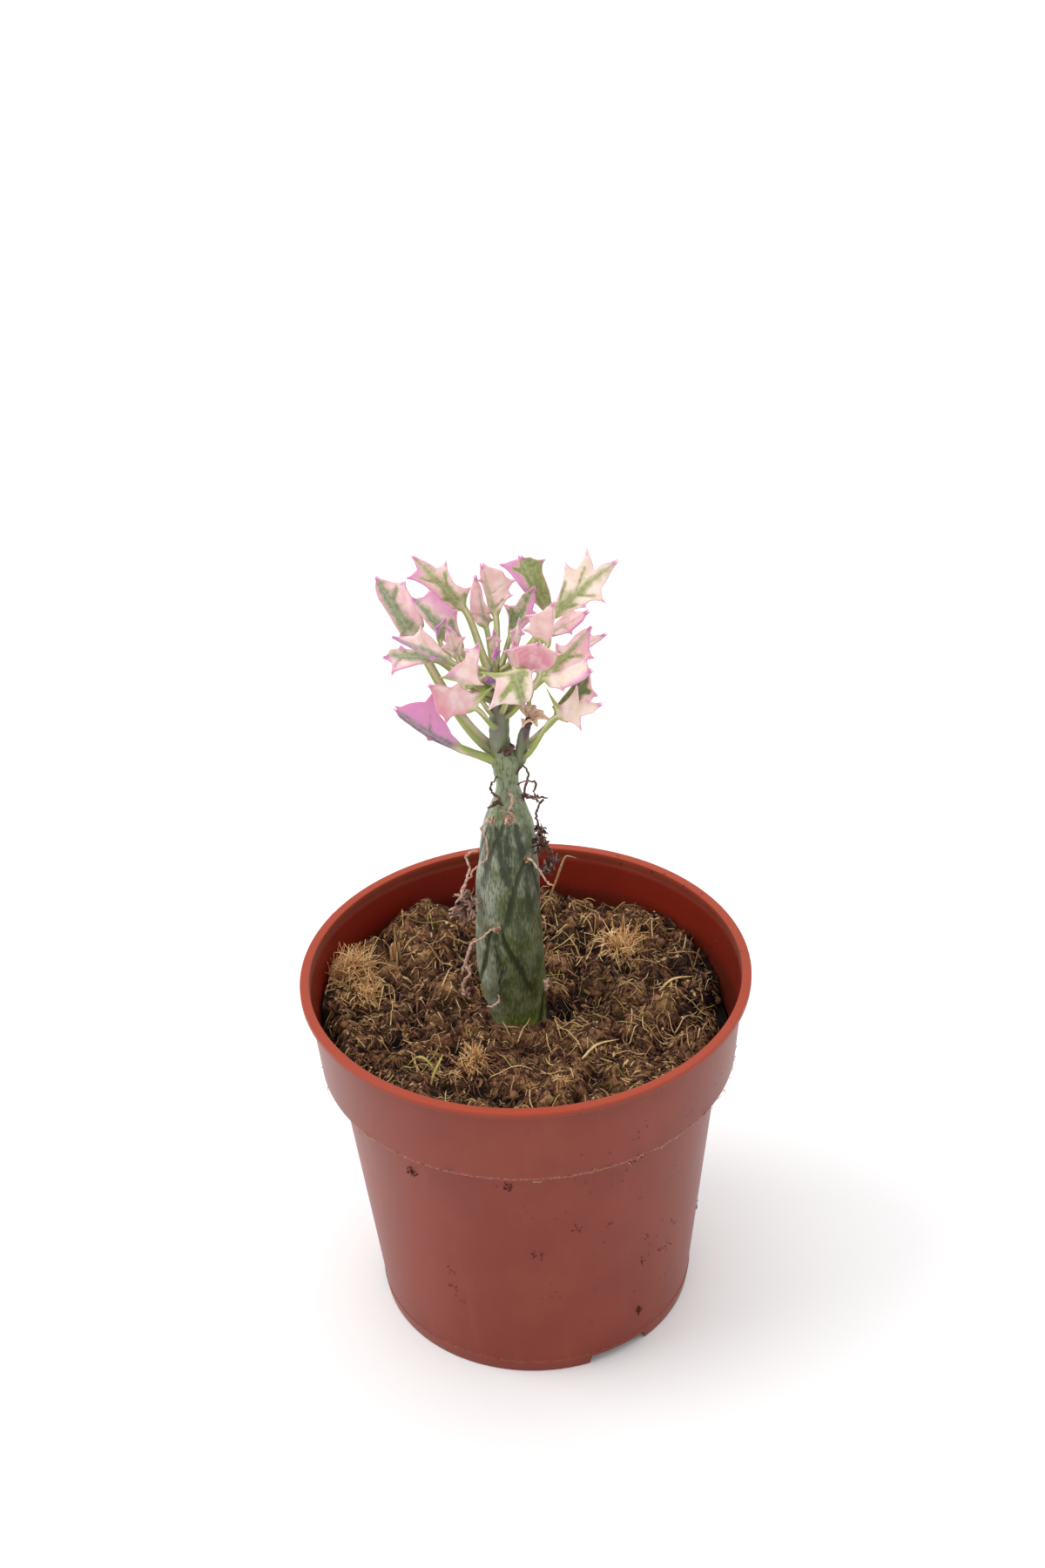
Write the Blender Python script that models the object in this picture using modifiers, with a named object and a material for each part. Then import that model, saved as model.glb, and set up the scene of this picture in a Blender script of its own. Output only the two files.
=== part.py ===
"""A potted candle plant: a swollen, jointed succulent stem with lobed, variegated leaves in a nursery pot.

Every length below is in millimetres and is turned into metres by MM when a mesh is made.
Z is up. The origin is the middle of the pot's foot, on the surface that the pot stands on.
Seen from the front, along +Y, the crown's fuller side is at +X.
"""

import math
from collections import namedtuple

import bmesh
import bpy
import numpy as np

MM = 0.001
CLEARANCE = 0.3
MERGE_DISTANCE = 0.0001
TURN_STEPS = 48

# The pot

POT_HEIGHT = 105.0
LIP_RADIUS = 60.0
LIP_INNER_RADIUS = 57.45
LIP_DEPTH = 1.7
COLLAR_TOP_RADIUS = 58.1
COLLAR_FOOT_RADIUS = 56.0
STEP_HEIGHT = 80.0
BODY_TOP_RADIUS = 51.9
BODY_FOOT_RADIUS = 43.35
WALL = 1.0
FLOOR_UNDERSIDE = 3.2
FLOOR_TOP = 4.2
FOOT_RING_WIDTH = 1.8
NOTCH_AZIMUTHS = (-60.0, 60.0, 180.0)
NOTCH_WIDTH = 19.5
NOTCH_HEIGHT = 3.0
DRAIN_HOLE_COUNT = 6
DRAIN_HOLE_RADIUS = 3.0
DRAIN_CIRCLE_RADIUS = 28.0
DRAIN_HOLE_STEPS = 12
FIRST_DRAIN_AZIMUTH = 34.0
ROUNDING = 0.3
MOULD_LINE_HEIGHT = 4.0
NOTCH_BLOCK_DEPTH = 8.0
NOTCH_BLOCK_UNDERSIDE = -2.0
NOTCH_TOP_SHARE = 0.86

# The soil

SOIL_LEVEL = 90.5
SOIL_RINGS = (10.6, 14.5, 19.0, 24.0, 29.0, 34.0, 39.0, 44.0, 49.0)
SOIL_SLOPE = (-0.035, 0.022)
WIDE_HUMMOCK_HEIGHT = 1.1
NARROW_HUMMOCK_HEIGHT = 0.7
DIP_PLACE = (8.0, 3.0)
DIP_DEPTH = 2.4
DIP_SPREAD = 7.7

# The swollen joint: height, sideways place of its middle, radius, from its buried end to its neck

JOINT_SECTIONS = (
    (62.6, -1.5, 3.2),
    (64.6, -1.5, 5.0),
    (68.0, -1.5, 6.2),
    (76.0, -1.6, 7.0),
    (90.0, -2.0, 7.5),
    (99.5, -3.0, 8.6),
    (108.0, -3.6, 8.9),
    (121.0, -3.7, 8.7),
    (134.5, -3.6, 8.2),
    (140.5, -3.3, 7.5),
    (150.0, -2.9, 6.6),
    (154.5, -2.8, 5.3),
    (160.0, -2.5, 3.5),
    (163.5, -2.6, 2.9),
    (167.5, -2.8, 3.3),
    (170.0, -2.9, 3.7),
    (173.0, -3.5, 2.9),
)
JOINT_END = 62.0
JOINT_RING_SPACING = 2.6
JOINT_STEPS = 26
GROOVE_DEPTH = 0.22
GROOVES_ROUND = 7
BARE_FROM = 93.0
BARE_TO = 164.0
FADE_LENGTH = 8.0

# Leaf scars on the joint: azimuth in degrees, height

SCARS = {
    "left": (-139.0, 154.5),
    "front": (-92.0, 155.5),
    "right": (-49.0, 143.7),
    "middle": (-112.0, 124.0),
    "low": (-13.0, 101.0),
    "back": (95.0, 147.0),
    "back_low": (70.0, 116.0),
}
SCAR_HEIGHT = 0.7
SCAR_SPREAD = 1.7

# The two shoots above the neck: place and radius from foot to tip

MAIN_SHOOT = (
    (-2.9, 0.0, 166.0, 3.0),
    (-3.4, 0.0, 171.0, 3.2),
    (-4.1, 0.0, 176.0, 2.6),
    (-3.9, 0.0, 183.0, 2.5),
    (-4.1, 0.0, 190.0, 2.1),
    (-4.4, 0.0, 195.0, 1.5),
    (-4.4, 0.0, 197.5, 0.9),
)
SIDE_SHOOT = (
    (-1.5, 0.0, 166.2, 1.1),
    (0.6, 0.0, 169.8, 1.7),
    (1.5, -0.4, 174.0, 1.6),
    (2.0, -1.4, 178.0, 1.4),
    (2.9, -2.7, 181.2, 1.0),
)
CROWN_AXIS_X = -4.0

# Outlines of the blades. Each station gives a place on the midrib, then the outline's point on the left as
# (along, out) and the one on the right, all as shares of the blade's length. The tip is at (1, 0).

HOOD = (
    (0.20, 0.23, 0.11, 0.20, 0.05),
    (0.45, 0.55, 0.24, 0.42, 0.07),
    (0.62, 0.82, 0.47, 0.60, 0.07),
    (0.76, 0.81, 0.27, 0.76, 0.06),
    (0.90, 0.94, 0.15, 0.92, 0.05),
)
PADDLE = (
    (0.10, 0.10, 0.12, 0.06, 0.20),
    (0.30, 0.30, 0.12, 0.26, 0.26),
    (0.52, 0.50, 0.11, 0.48, 0.27),
    (0.74, 0.76, 0.11, 0.77, 0.28),
    (0.90, 0.92, 0.07, 0.88, 0.13),
)
NOTCHED = (
    (0.20, 0.20, 0.09, 0.20, 0.09),
    (0.42, 0.40, 0.15, 0.42, 0.14),
    (0.64, 0.68, 0.24, 0.70, 0.16),
    (0.80, 0.90, 0.32, 0.92, 0.14),
    (0.90, 0.88, 0.12, 0.96, 0.07),
)
CREST = (
    (0.18, 0.16, 0.06, 0.22, 0.10),
    (0.40, 0.36, 0.07, 0.48, 0.20),
    (0.56, 0.54, 0.07, 0.67, 0.26),
    (0.70, 0.68, 0.06, 0.75, 0.11),
    (0.86, 0.86, 0.05, 0.88, 0.06),
)
HALF = (
    (0.16, 0.14, 0.08, 0.18, 0.14),
    (0.36, 0.36, 0.10, 0.46, 0.28),
    (0.56, 0.56, 0.10, 0.70, 0.25),
    (0.72, 0.74, 0.08, 0.93, 0.25),
    (0.86, 0.88, 0.06, 0.93, 0.12),
)
LOBED = (
    (0.10, 0.10, 0.11, 0.15, 0.23),
    (0.28, 0.34, 0.15, 0.36, 0.14),
    (0.46, 0.60, 0.15, 0.65, 0.25),
    (0.62, 0.86, 0.24, 0.69, 0.11),
    (0.80, 0.86, 0.08, 0.84, 0.07),
)
SCALLOPED = (
    (0.12, 0.10, 0.09, 0.12, 0.14),
    (0.26, 0.24, 0.09, 0.30, 0.36),
    (0.42, 0.42, 0.08, 0.42, 0.34),
    (0.56, 0.58, 0.08, 0.57, 0.50),
    (0.70, 0.74, 0.10, 0.70, 0.35),
    (0.84, 0.86, 0.07, 0.81, 0.33),
)
WING = (
    (0.14, 0.10, 0.16, 0.12, 0.12),
    (0.34, 0.32, 0.26, 0.36, 0.12),
    (0.54, 0.54, 0.21, 0.52, 0.07),
    (0.74, 0.74, 0.15, 0.72, 0.07),
    (0.88, 0.89, 0.09, 0.88, 0.05),
)
FAN = (
    (0.14, 0.14, 0.09, 0.12, 0.12),
    (0.36, 0.34, 0.14, 0.34, 0.17),
    (0.60, 0.64, 0.21, 0.62, 0.19),
    (0.80, 1.05, 0.32, 0.81, 0.29),
    (0.92, 1.03, 0.14, 0.95, 0.14),
)
PALMATE = (
    (0.12, 0.16, 0.07, 0.12, 0.08),
    (0.28, 0.54, 0.32, 0.40, 0.15),
    (0.40, 0.60, 0.20, 0.50, 0.15),
    (0.54, 0.84, 0.29, 0.62, 0.25),
    (0.68, 0.75, 0.07, 0.69, 0.12),
    (0.85, 0.87, 0.07, 0.87, 0.06),
)
FLAG = (
    (0.10, 0.05, 0.30, 0.08, 0.06),
    (0.24, 0.27, 0.60, 0.24, 0.06),
    (0.40, 0.42, 0.45, 0.40, 0.06),
    (0.56, 0.65, 0.54, 0.56, 0.06),
    (0.78, 0.80, 0.20, 0.78, 0.05),
)
CUP = (
    (0.12, 0.14, 0.34, 0.14, 0.24),
    (0.34, 0.38, 0.60, 0.38, 0.42),
    (0.58, 1.02, 0.68, 0.74, 0.52),
    (0.80, 0.96, 0.28, 0.86, 0.24),
)
SPLAYED = (
    (0.14, 0.12, 0.36, 0.0, 0.90),
    (0.28, 0.20, 0.44, 0.20, 0.54),
    (0.45, 0.42, 0.38, 0.80, 0.92),
    (0.68, 0.66, 0.32, 0.82, 0.50),
    (0.88, 0.92, 0.18, 0.95, 0.20),
)
ARROW = (
    (0.05, 0.02, 0.44, 0.16, 0.33),
    (0.26, 0.24, 0.32, 0.32, 0.19),
    (0.52, 0.53, 0.13, 0.58, 0.12),
    (0.78, 0.81, 0.16, 0.80, 0.10),
)
SPREAD = (
    (0.08, 0.08, 0.12, -0.06, 0.40),
    (0.22, 0.24, 0.20, 0.22, 0.18),
    (0.38, 0.42, 0.38, 0.50, 0.27),
    (0.58, 0.66, 0.32, 0.60, 0.11),
    (0.80, 0.82, 0.12, 0.82, 0.08),
)
SIDED = (
    (0.14, 0.14, 0.09, 0.15, 0.15),
    (0.34, 0.45, 0.19, 0.42, 0.23),
    (0.50, 0.56, 0.09, 0.69, 0.31),
    (0.68, 0.72, 0.09, 0.80, 0.16),
    (0.86, 0.87, 0.07, 0.89, 0.08),
)
SCOOP = (
    (0.12, 0.10, 0.08, 0.12, 0.20),
    (0.32, 0.34, 0.09, 0.38, 0.27),
    (0.52, 0.57, 0.19, 0.60, 0.23),
    (0.76, 0.96, 0.24, 0.78, 0.17),
    (0.90, 0.97, 0.10, 0.93, 0.08),
)
STAR = (
    (0.05, -0.10, 0.56, 0.05, 0.11),
    (0.15, 0.10, 0.18, 0.16, 0.14),
    (0.32, 0.57, 0.45, 0.48, 0.38),
    (0.50, 0.51, 0.13, 0.51, 0.12),
    (0.76, 0.76, 0.14, 0.76, 0.12),
)
TRIDENT = (
    (0.18, 0.18, 0.12, 0.18, 0.13),
    (0.38, 0.50, 0.34, 0.62, 0.30),
    (0.56, 0.58, 0.15, 0.64, 0.15),
    (0.78, 0.82, 0.13, 0.83, 0.12),
)
SPEAR = (
    (0.22, 0.22, 0.10, 0.22, 0.10),
    (0.45, 0.52, 0.14, 0.46, 0.14),
    (0.64, 0.74, 0.19, 0.66, 0.11),
    (0.82, 0.84, 0.08, 0.84, 0.09),
)
BUD = (
    (0.28, 0.28, 0.17, 0.28, 0.17),
    (0.62, 0.64, 0.19, 0.64, 0.19),
)

# One row for each leaf. root is the height at which its stalk leaves the shoot. base and tip, the ends of its
# blade, are (azimuth in degrees, reach from the crown's axis, height). faces is the way its upper side looks,
# as (azimuth, rise) in degrees. width scales the outline, cup bends the blade's sides up, bow bends its tip up,
# and stalk is half the width of the stalk.

Leaf = namedtuple("Leaf", "name shoot root base tip faces outline width cup bow stalk hue")

LEAVES = (
    Leaf("leaf_01", MAIN_SHOOT, 170.5, (-158, 11, 176.5), (-162, 26, 190.5), (90, 10), HOOD, 1.0, 1.2, 0.4,
         1.2, "magenta"),
    Leaf("leaf_02", MAIN_SHOOT, 172.5, (164, 21, 203), (161, 30, 217), (-95, 20), PADDLE, 1.05, 0.8, -0.3,
         1.2, "green"),
    Leaf("leaf_03", MAIN_SHOOT, 187.2, (-169, 15, 201), (-169, 27, 203.5), (-90, 50), NOTCHED, 1.0, 0.6, -0.8,
         0.7, "green"),
    Leaf("leaf_04", MAIN_SHOOT, 189.6, (-139, 14, 203.5), (-153, 26.5, 212.5), (-80, 50), CREST, 1.0, 0.8, -0.3,
         0.8, "pink"),
    Leaf("leaf_05", MAIN_SHOOT, 190.0, (160, 9, 200), (163, 20.5, 213), (-70, 35), HALF, 1.0, 1.2, -0.3,
         0.9, "pink"),
    Leaf("leaf_06", MAIN_SHOOT, 192.5, (127, 12.5, 208), (144, 23.5, 220.5), (-90, 25), LOBED, 1.0, 0.6, -0.3,
         0.9, "green"),
    Leaf("leaf_07", MAIN_SHOOT, 193.8, (89, 12, 204.5), (99, 17, 216), (-90, 25), SCALLOPED, 1.0, 0.6, 0.3,
         0.8, "green"),
    Leaf("leaf_08", MAIN_SHOOT, 187.0, (100, 13, 201), (103, 19.5, 211.5), (-70, 15), WING, 1.0, 0.6, 0.3,
         0.7, "olive"),
    Leaf("leaf_09", MAIN_SHOOT, 192.6, (40, 17, 206), (62, 15, 219.5), (-90, 15), FAN, 1.0, -0.8, -0.4,
         0.8, "green"),
    Leaf("leaf_10", MAIN_SHOOT, 190.0, (9, 13.5, 209), (8, 30, 222), (-90, 35), PALMATE, 1.0, 0.4, -0.3,
         1.0, "green"),
    Leaf("leaf_11", MAIN_SHOOT, 187.6, (25, 14.5, 202), (20, 24, 206.5), (-90, 50), SPEAR, 1.4, 1.0, 0.3,
         0.7, "pink"),
    Leaf("leaf_12", MAIN_SHOOT, 194.0, (-29, 14.5, 206.5), (-19, 15, 216), (-100, 20), FLAG, 1.0, 0.8, 0.5,
         0.7, "cream"),
    Leaf("leaf_13", MAIN_SHOOT, 187.5, (-49, 16, 201.5), (-54, 17.5, 210.5), (-95, 20), CUP, 0.9, 0.8, 0.5,
         0.8, "pink"),
    Leaf("leaf_14", MAIN_SHOOT, 184.5, (-72, 14.5, 203.5), (-71, 19, 196.5), (-90, 30), SPLAYED, 1.0, 0.5, -1.4,
         0.6, "green"),
    Leaf("leaf_15", MAIN_SHOOT, 191.2, (-51, 7.5, 199), (-57, 8.5, 207), (-90, 20), SPEAR, 1.3, 0.8, 0.3,
         0.7, "cream"),
    Leaf("leaf_16", MAIN_SHOOT, 194.8, (-120, 16, 200), (-106, 15.5, 211), (-90, 25), ARROW, 1.0, 0.8, 0.4,
         0.7, "magenta"),
    Leaf("leaf_17", MAIN_SHOOT, 180.5, (-121, 10.5, 190.5), (-141, 20.5, 199.5), (-90, 30), SPREAD, 1.0, 0.8,
         0.4, 0.7, "pink"),
    Leaf("leaf_18", MAIN_SHOOT, 183.6, (-142, 5.5, 189.5), (-150, 10, 193), (-110, 20), SPEAR, 1.5, 0.8, 0.3,
         0.6, "olive"),
    Leaf("leaf_19", MAIN_SHOOT, 185.4, (-9, 12.5, 195), (2, 23, 206), (-90, 35), SIDED, 1.0, 0.7, 0.4,
         0.7, "pink"),
    Leaf("leaf_20", MAIN_SHOOT, 182.4, (34, 20, 192), (24, 29.5, 198), (-90, 50), SPEAR, 0.8, 0.8, -0.3,
         0.7, "cream"),
    Leaf("leaf_21", MAIN_SHOOT, 183.0, (-32, 13.5, 197), (-23, 24.5, 200), (-80, 50), SCOOP, 1.0, 1.0, 0.4,
         0.7, "pink"),
    Leaf("leaf_22", SIDE_SHOOT, 173.5, (12, 14.5, 180), (10, 23, 191.5), (-90, 45), PADDLE, 1.0, -0.8, 0.4,
         0.8, "olive"),
    Leaf("leaf_23", SIDE_SHOOT, 170.8, (-32, 17, 187.5), (-26, 27.5, 192), (-90, 40), STAR, 1.0, 0.6, 0.3,
         0.6, "cream"),
    Leaf("leaf_24", SIDE_SHOOT, 177.0, (16, 8, 186), (19, 8.5, 190.5), (-90, 20), BUD, 1.2, 0.8, 0.3,
         0.6, "olive"),
    Leaf("leaf_25", MAIN_SHOOT, 194.8, (48, 5.5, 203), (40, 12.5, 213.5), (-95, 20), TRIDENT, 1.0, 1.2, 0.6,
         0.7, "olive"),
    Leaf("leaf_26", MAIN_SHOOT, 193.0, (2, 4.5, 202), (0, 6, 209), (-90, 30), BUD, 0.8, 1.5, -1.0,
         0.6, "cream"),
    Leaf("leaf_27", MAIN_SHOOT, 194.8, (-176, 13.5, 205), (-175, 12, 211), (-60, 20), BUD, 1.3, 1.6, 0.6,
         0.6, "olive"),
    Leaf("leaf_28", MAIN_SHOOT, 192.2, (-152, 10.5, 202), (-151, 12.5, 211), (-90, 25), TRIDENT, 1.0, 1.0, 0.4,
         0.6, "pink"),
    Leaf("young_leaf_01", MAIN_SHOOT, 196.0, (-94, 3.2, 200), (-88, 4.2, 204), (-40, 10), BUD, 1.2, 1.2, 0.5,
         0.5, "magenta"),
    Leaf("young_leaf_02", MAIN_SHOOT, 196.4, (100, 2.6, 199.5), (95, 2.6, 205), (-110, 10), BUD, 1.2, 1.2, 0.5,
         0.5, "cream"),
    Leaf("young_leaf_03", MAIN_SHOOT, 195.4, (-20, 3.6, 199), (-20, 4.4, 203), (-100, 10), BUD, 1.2, 1.2, 0.5,
         0.5, "olive"),
    Leaf("young_leaf_04", MAIN_SHOOT, 191.6, (-100, 5.5, 194.8), (-106, 7, 199), (-80, 10), BUD, 1.2, 1.2, 0.5,
         0.5, "magenta"),
)

STALK_ROWS = 5
STALK_RISE = 0.6
STALK_PULL = 0.9
STALK_END_PULL = 0.54
STALK_DEPTH = 1.7
STALK_ROUNDING = 0.55
ROOT_GAP = 0.4
COLUMNS = 4
EDGE_THICKNESS = 0.65
RIB_THICKNESS = 1.0
RIB_TAPER = 1.6
RIB_END = 0.97
TIP_HALF_WIDTH = 0.3
FULL_THICKNESS = 2.4

# The withered rosette on the side shoot: its stub, then its short, curled leaves

STUB = (
    (3.1, -3.0, 181.8, 0.9),
    (3.3, -3.3, 182.8, 1.1),
    (3.5, -3.5, 183.8, 0.8),
)
PETALS_FROM = (3.4, -3.4, 182.8)
PETAL_AZIMUTHS = (-112.0, -66.0, -20.0, 26.0, 70.0, 114.0)
PETAL_REACHES = (3.0, 3.5, 4.0)
PETAL_SPACING = 0.17
PETAL_START = 0.3
PETAL_ARCH = 1.4
PETAL_ARCH_TURN = 2.6
PETAL_TIP_WIDTH = 0.35
PETAL_BULGE = 0.8
PETAL_CURL = 0.5
PETAL_THICKNESS = 0.7
PETAL_ROWS = 5

# The dried leaves: the scar that each hangs from, then its route, with a swelling where it is crumpled

DriedLeaf = namedtuple("DriedLeaf", "name scar route")

DRIED_LEAVES = (
    DriedLeaf("dried_leaf_left", "left", (
        (-9.6, -5.6, 156.0, 1.0),
        (-10.0, -6.0, 152.5, 1.0),
        (-9.0, -6.6, 149.0, 1.0),
        (-9.4, -6.6, 144.5, 1.0),
        (-12.0, -6.0, 140.0, 1.0),
        (-13.8, -5.6, 136.5, 1.2),
        (-14.6, -5.4, 132.5, 2.8),
        (-15.0, -5.2, 129.0, 3.4),
        (-14.4, -5.2, 126.5, 1.8),
    )),
    DriedLeaf("dried_leaf_right", "right", (
        (4.0, -7.0, 142.5, 1.0),
        (5.6, -7.2, 139.5, 1.0),
        (7.0, -7.2, 137.5, 2.4),
        (7.8, -7.2, 135.4, 1.4),
    )),
    DriedLeaf("dried_leaf_middle", "middle", (
        (-9.2, -10.2, 122.0, 1.0),
        (-12.0, -9.4, 119.5, 1.0),
        (-14.2, -9.0, 117.0, 1.2),
        (-15.4, -9.0, 113.5, 1.0),
        (-16.0, -9.0, 110.0, 1.0),
        (-17.0, -9.0, 107.0, 1.3),
        (-17.4, -9.0, 104.5, 1.0),
    )),
    DriedLeaf("dried_leaf_neck", None, (
        (0.2, -2.5, 166.8, 1.0),
        (1.9, -2.4, 166.6, 1.0),
        (3.6, -2.8, 164.5, 1.0),
        (3.0, -2.8, 161.5, 1.6),
        (3.8, -2.8, 158.6, 1.0),
        (4.9, -2.6, 155.8, 1.2),
        (4.6, -2.6, 152.0, 1.0),
        (5.4, -2.6, 149.2, 2.6),
        (5.1, -2.6, 145.8, 1.2),
        (5.4, -2.8, 142.6, 1.0),
        (7.4, -3.2, 143.8, 2.2),
    )),
)
THREAD_RADIUS = 0.35

HUES = {
    "green": ((0.36, 0.44, 0.26), 0.45),
    "pink": ((0.86, 0.58, 0.62), 0.45),
    "cream": ((0.86, 0.78, 0.66), 0.45),
    "magenta": ((0.66, 0.26, 0.52), 0.45),
    "olive": ((0.38, 0.38, 0.22), 0.5),
    "withered": ((0.36, 0.24, 0.16), 0.85),
    "stem": ((0.20, 0.32, 0.20), 0.5),
    "terracotta_plastic": ((0.42, 0.10, 0.05), 0.45),
    "peat": ((0.10, 0.06, 0.03), 0.95),
}


def clear_scene():
    for item in list(bpy.data.objects):
        bpy.data.objects.remove(item, do_unlink=True)


def new_collection(name):
    collection = bpy.data.collections.new(name)
    bpy.context.scene.collection.children.link(collection)
    return collection


def finish(item, hue):
    """Give the object its material and smooth shading."""
    material = bpy.data.materials.get(hue)
    if material is None:
        material = bpy.data.materials.new(hue)
        material.use_nodes = True
        colour, roughness = HUES[hue]
        shader = material.node_tree.nodes["Principled BSDF"]
        shader.inputs["Base Color"].default_value = (*colour, 1.0)
        shader.inputs["Roughness"].default_value = roughness
        shader.inputs["Metallic"].default_value = 0.0
    item.data.materials.clear()
    item.data.materials.append(material)
    item.data.shade_smooth()
    return item


def add_mesh(name, mesh, collection):
    item = bpy.data.objects.new(name, mesh)
    collection.objects.link(item)
    return item


def bake(item):
    """Replace the object by a mesh object of its evaluated shape."""
    bpy.context.view_layer.update()
    depsgraph = bpy.context.evaluated_depsgraph_get()
    mesh = bpy.data.meshes.new_from_object(item.evaluated_get(depsgraph))
    mesh_tool = bmesh.new()
    mesh_tool.from_mesh(mesh)
    bmesh.ops.remove_doubles(mesh_tool, verts=mesh_tool.verts, dist=0.02 * MM)
    bmesh.ops.dissolve_degenerate(mesh_tool, edges=mesh_tool.edges, dist=0.01 * MM)
    loose = [edge for edge in mesh_tool.edges if not edge.link_faces]
    bmesh.ops.delete(mesh_tool, geom=loose, context="EDGES")
    mesh_tool.to_mesh(mesh)
    mesh_tool.free()
    name = item.name
    place = item.matrix_world.copy()
    collection = item.users_collection[0]
    bpy.data.objects.remove(item, do_unlink=True)
    baked = add_mesh(name, mesh, collection)
    baked.matrix_world = place
    return baked


def turned(name, profile, steps, collection):
    """Spin a profile of (radius, height) points round Z."""
    mesh = bpy.data.meshes.new(name)
    points = [(radius * MM, 0.0, height * MM) for radius, height in profile]
    mesh.from_pydata(points, [(i, i + 1) for i in range(len(points) - 1)], [])
    item = add_mesh(name, mesh, collection)
    screw = item.modifiers.new("turn", "SCREW")
    screw.axis = "Z"
    screw.angle = math.tau
    screw.steps = steps
    screw.render_steps = steps
    screw.use_merge_vertices = True
    screw.merge_threshold = MERGE_DISTANCE * 0.1
    return item


def cut(item, cutter):
    boolean = item.modifiers.new("cut_" + cutter.name, "BOOLEAN")
    boolean.operation = "DIFFERENCE"
    boolean.solver = "EXACT"
    boolean.object = cutter
    cutter.hide_render = True
    cutter.display_type = "WIRE"


def body_radius(height):
    """Outer radius of the pot below its step."""
    return BODY_FOOT_RADIUS + (BODY_TOP_RADIUS - BODY_FOOT_RADIUS) * height / STEP_HEIGHT


def collar_radius(height):
    """Outer radius of the pot's collar above its step."""
    share = (height - STEP_HEIGHT) / (POT_HEIGHT - LIP_DEPTH - STEP_HEIGHT)
    return COLLAR_FOOT_RADIUS + (COLLAR_TOP_RADIUS - COLLAR_FOOT_RADIUS) * share


def build_pot(parts, cutters):
    lip_underside = POT_HEIGHT - LIP_DEPTH
    inner_step = STEP_HEIGHT + WALL
    profile = (
        (0.0, FLOOR_TOP),
        (body_radius(FLOOR_TOP) - WALL - 2 * ROUNDING, FLOOR_TOP),
        (body_radius(FLOOR_TOP) - WALL, FLOOR_TOP + 2 * ROUNDING),
        (body_radius(inner_step - 2 * ROUNDING) - WALL, inner_step - 2 * ROUNDING),
        (body_radius(inner_step) - WALL + ROUNDING, inner_step),
        (collar_radius(inner_step) - WALL - ROUNDING, inner_step),
        (collar_radius(inner_step) - WALL, inner_step + ROUNDING),
        (collar_radius(lip_underside - WALL) - WALL, lip_underside - 2 * WALL),
        (LIP_INNER_RADIUS, lip_underside - WALL),
        (LIP_INNER_RADIUS, POT_HEIGHT - ROUNDING),
        (LIP_INNER_RADIUS + ROUNDING, POT_HEIGHT),
        (LIP_RADIUS - ROUNDING, POT_HEIGHT),
        (LIP_RADIUS, POT_HEIGHT - ROUNDING),
        (LIP_RADIUS, lip_underside + ROUNDING),
        (LIP_RADIUS - ROUNDING, lip_underside),
        (collar_radius(lip_underside), lip_underside),
        (collar_radius(STEP_HEIGHT + WALL), STEP_HEIGHT + WALL),
        (collar_radius(STEP_HEIGHT) - ROUNDING, STEP_HEIGHT),
        (body_radius(STEP_HEIGHT) + ROUNDING, STEP_HEIGHT - ROUNDING),
        (body_radius(STEP_HEIGHT - WALL), STEP_HEIGHT - WALL),
        (body_radius(MOULD_LINE_HEIGHT), MOULD_LINE_HEIGHT + ROUNDING),
        (body_radius(MOULD_LINE_HEIGHT) + ROUNDING, MOULD_LINE_HEIGHT),
        (body_radius(0.0) + ROUNDING, ROUNDING),
        (body_radius(0.0), 0.0),
        (body_radius(0.0) - FOOT_RING_WIDTH, 0.0),
        (body_radius(0.0) - FOOT_RING_WIDTH, FLOOR_UNDERSIDE),
        (0.0, FLOOR_UNDERSIDE),
    )
    pot = turned("pot", profile, TURN_STEPS, parts)
    for index, azimuth in enumerate(NOTCH_AZIMUTHS, start=1):
        cut(pot, notch_cutter(f"notch_{index}", azimuth, cutters))
    for index in range(DRAIN_HOLE_COUNT):
        azimuth = math.radians(FIRST_DRAIN_AZIMUTH + 360.0 * index / DRAIN_HOLE_COUNT)
        mesh = bpy.data.meshes.new("drain_hole")
        mesh_tool = bmesh.new()
        radius = DRAIN_HOLE_RADIUS * MM
        bmesh.ops.create_cone(mesh_tool, cap_ends=True, segments=DRAIN_HOLE_STEPS, radius1=radius, radius2=radius,
                              depth=4 * WALL * MM)
        mesh_tool.to_mesh(mesh)
        mesh_tool.free()
        cutter = add_mesh(f"drain_hole_{index + 1}", mesh, cutters)
        cutter.location = (
            DRAIN_CIRCLE_RADIUS * math.cos(azimuth) * MM,
            DRAIN_CIRCLE_RADIUS * math.sin(azimuth) * MM,
            (FLOOR_TOP + FLOOR_UNDERSIDE) / 2 * MM,
        )
        cut(pot, cutter)
    return finish(pot, "terracotta_plastic")


def notch_cutter(name, azimuth, cutters):
    """A block across the foot ring, narrower at its top."""
    mesh = bpy.data.meshes.new(name)
    mesh_tool = bmesh.new()
    bmesh.ops.create_cube(mesh_tool, size=1.0)
    for corner in mesh_tool.verts:
        is_top = corner.co.z > 0
        corner.co.x *= NOTCH_BLOCK_DEPTH * MM
        corner.co.y *= NOTCH_WIDTH * (NOTCH_TOP_SHARE if is_top else 1.0) * MM
        corner.co.z = (NOTCH_HEIGHT if is_top else NOTCH_BLOCK_UNDERSIDE) * MM
    mesh_tool.to_mesh(mesh)
    mesh_tool.free()
    cutter = add_mesh(name, mesh, cutters)
    angle = math.radians(azimuth)
    middle = (body_radius(0.0) - FOOT_RING_WIDTH / 2) * MM
    cutter.location = (middle * math.cos(angle), middle * math.sin(angle), 0.0)
    cutter.rotation_euler = (0.0, 0.0, angle)
    return cutter


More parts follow.
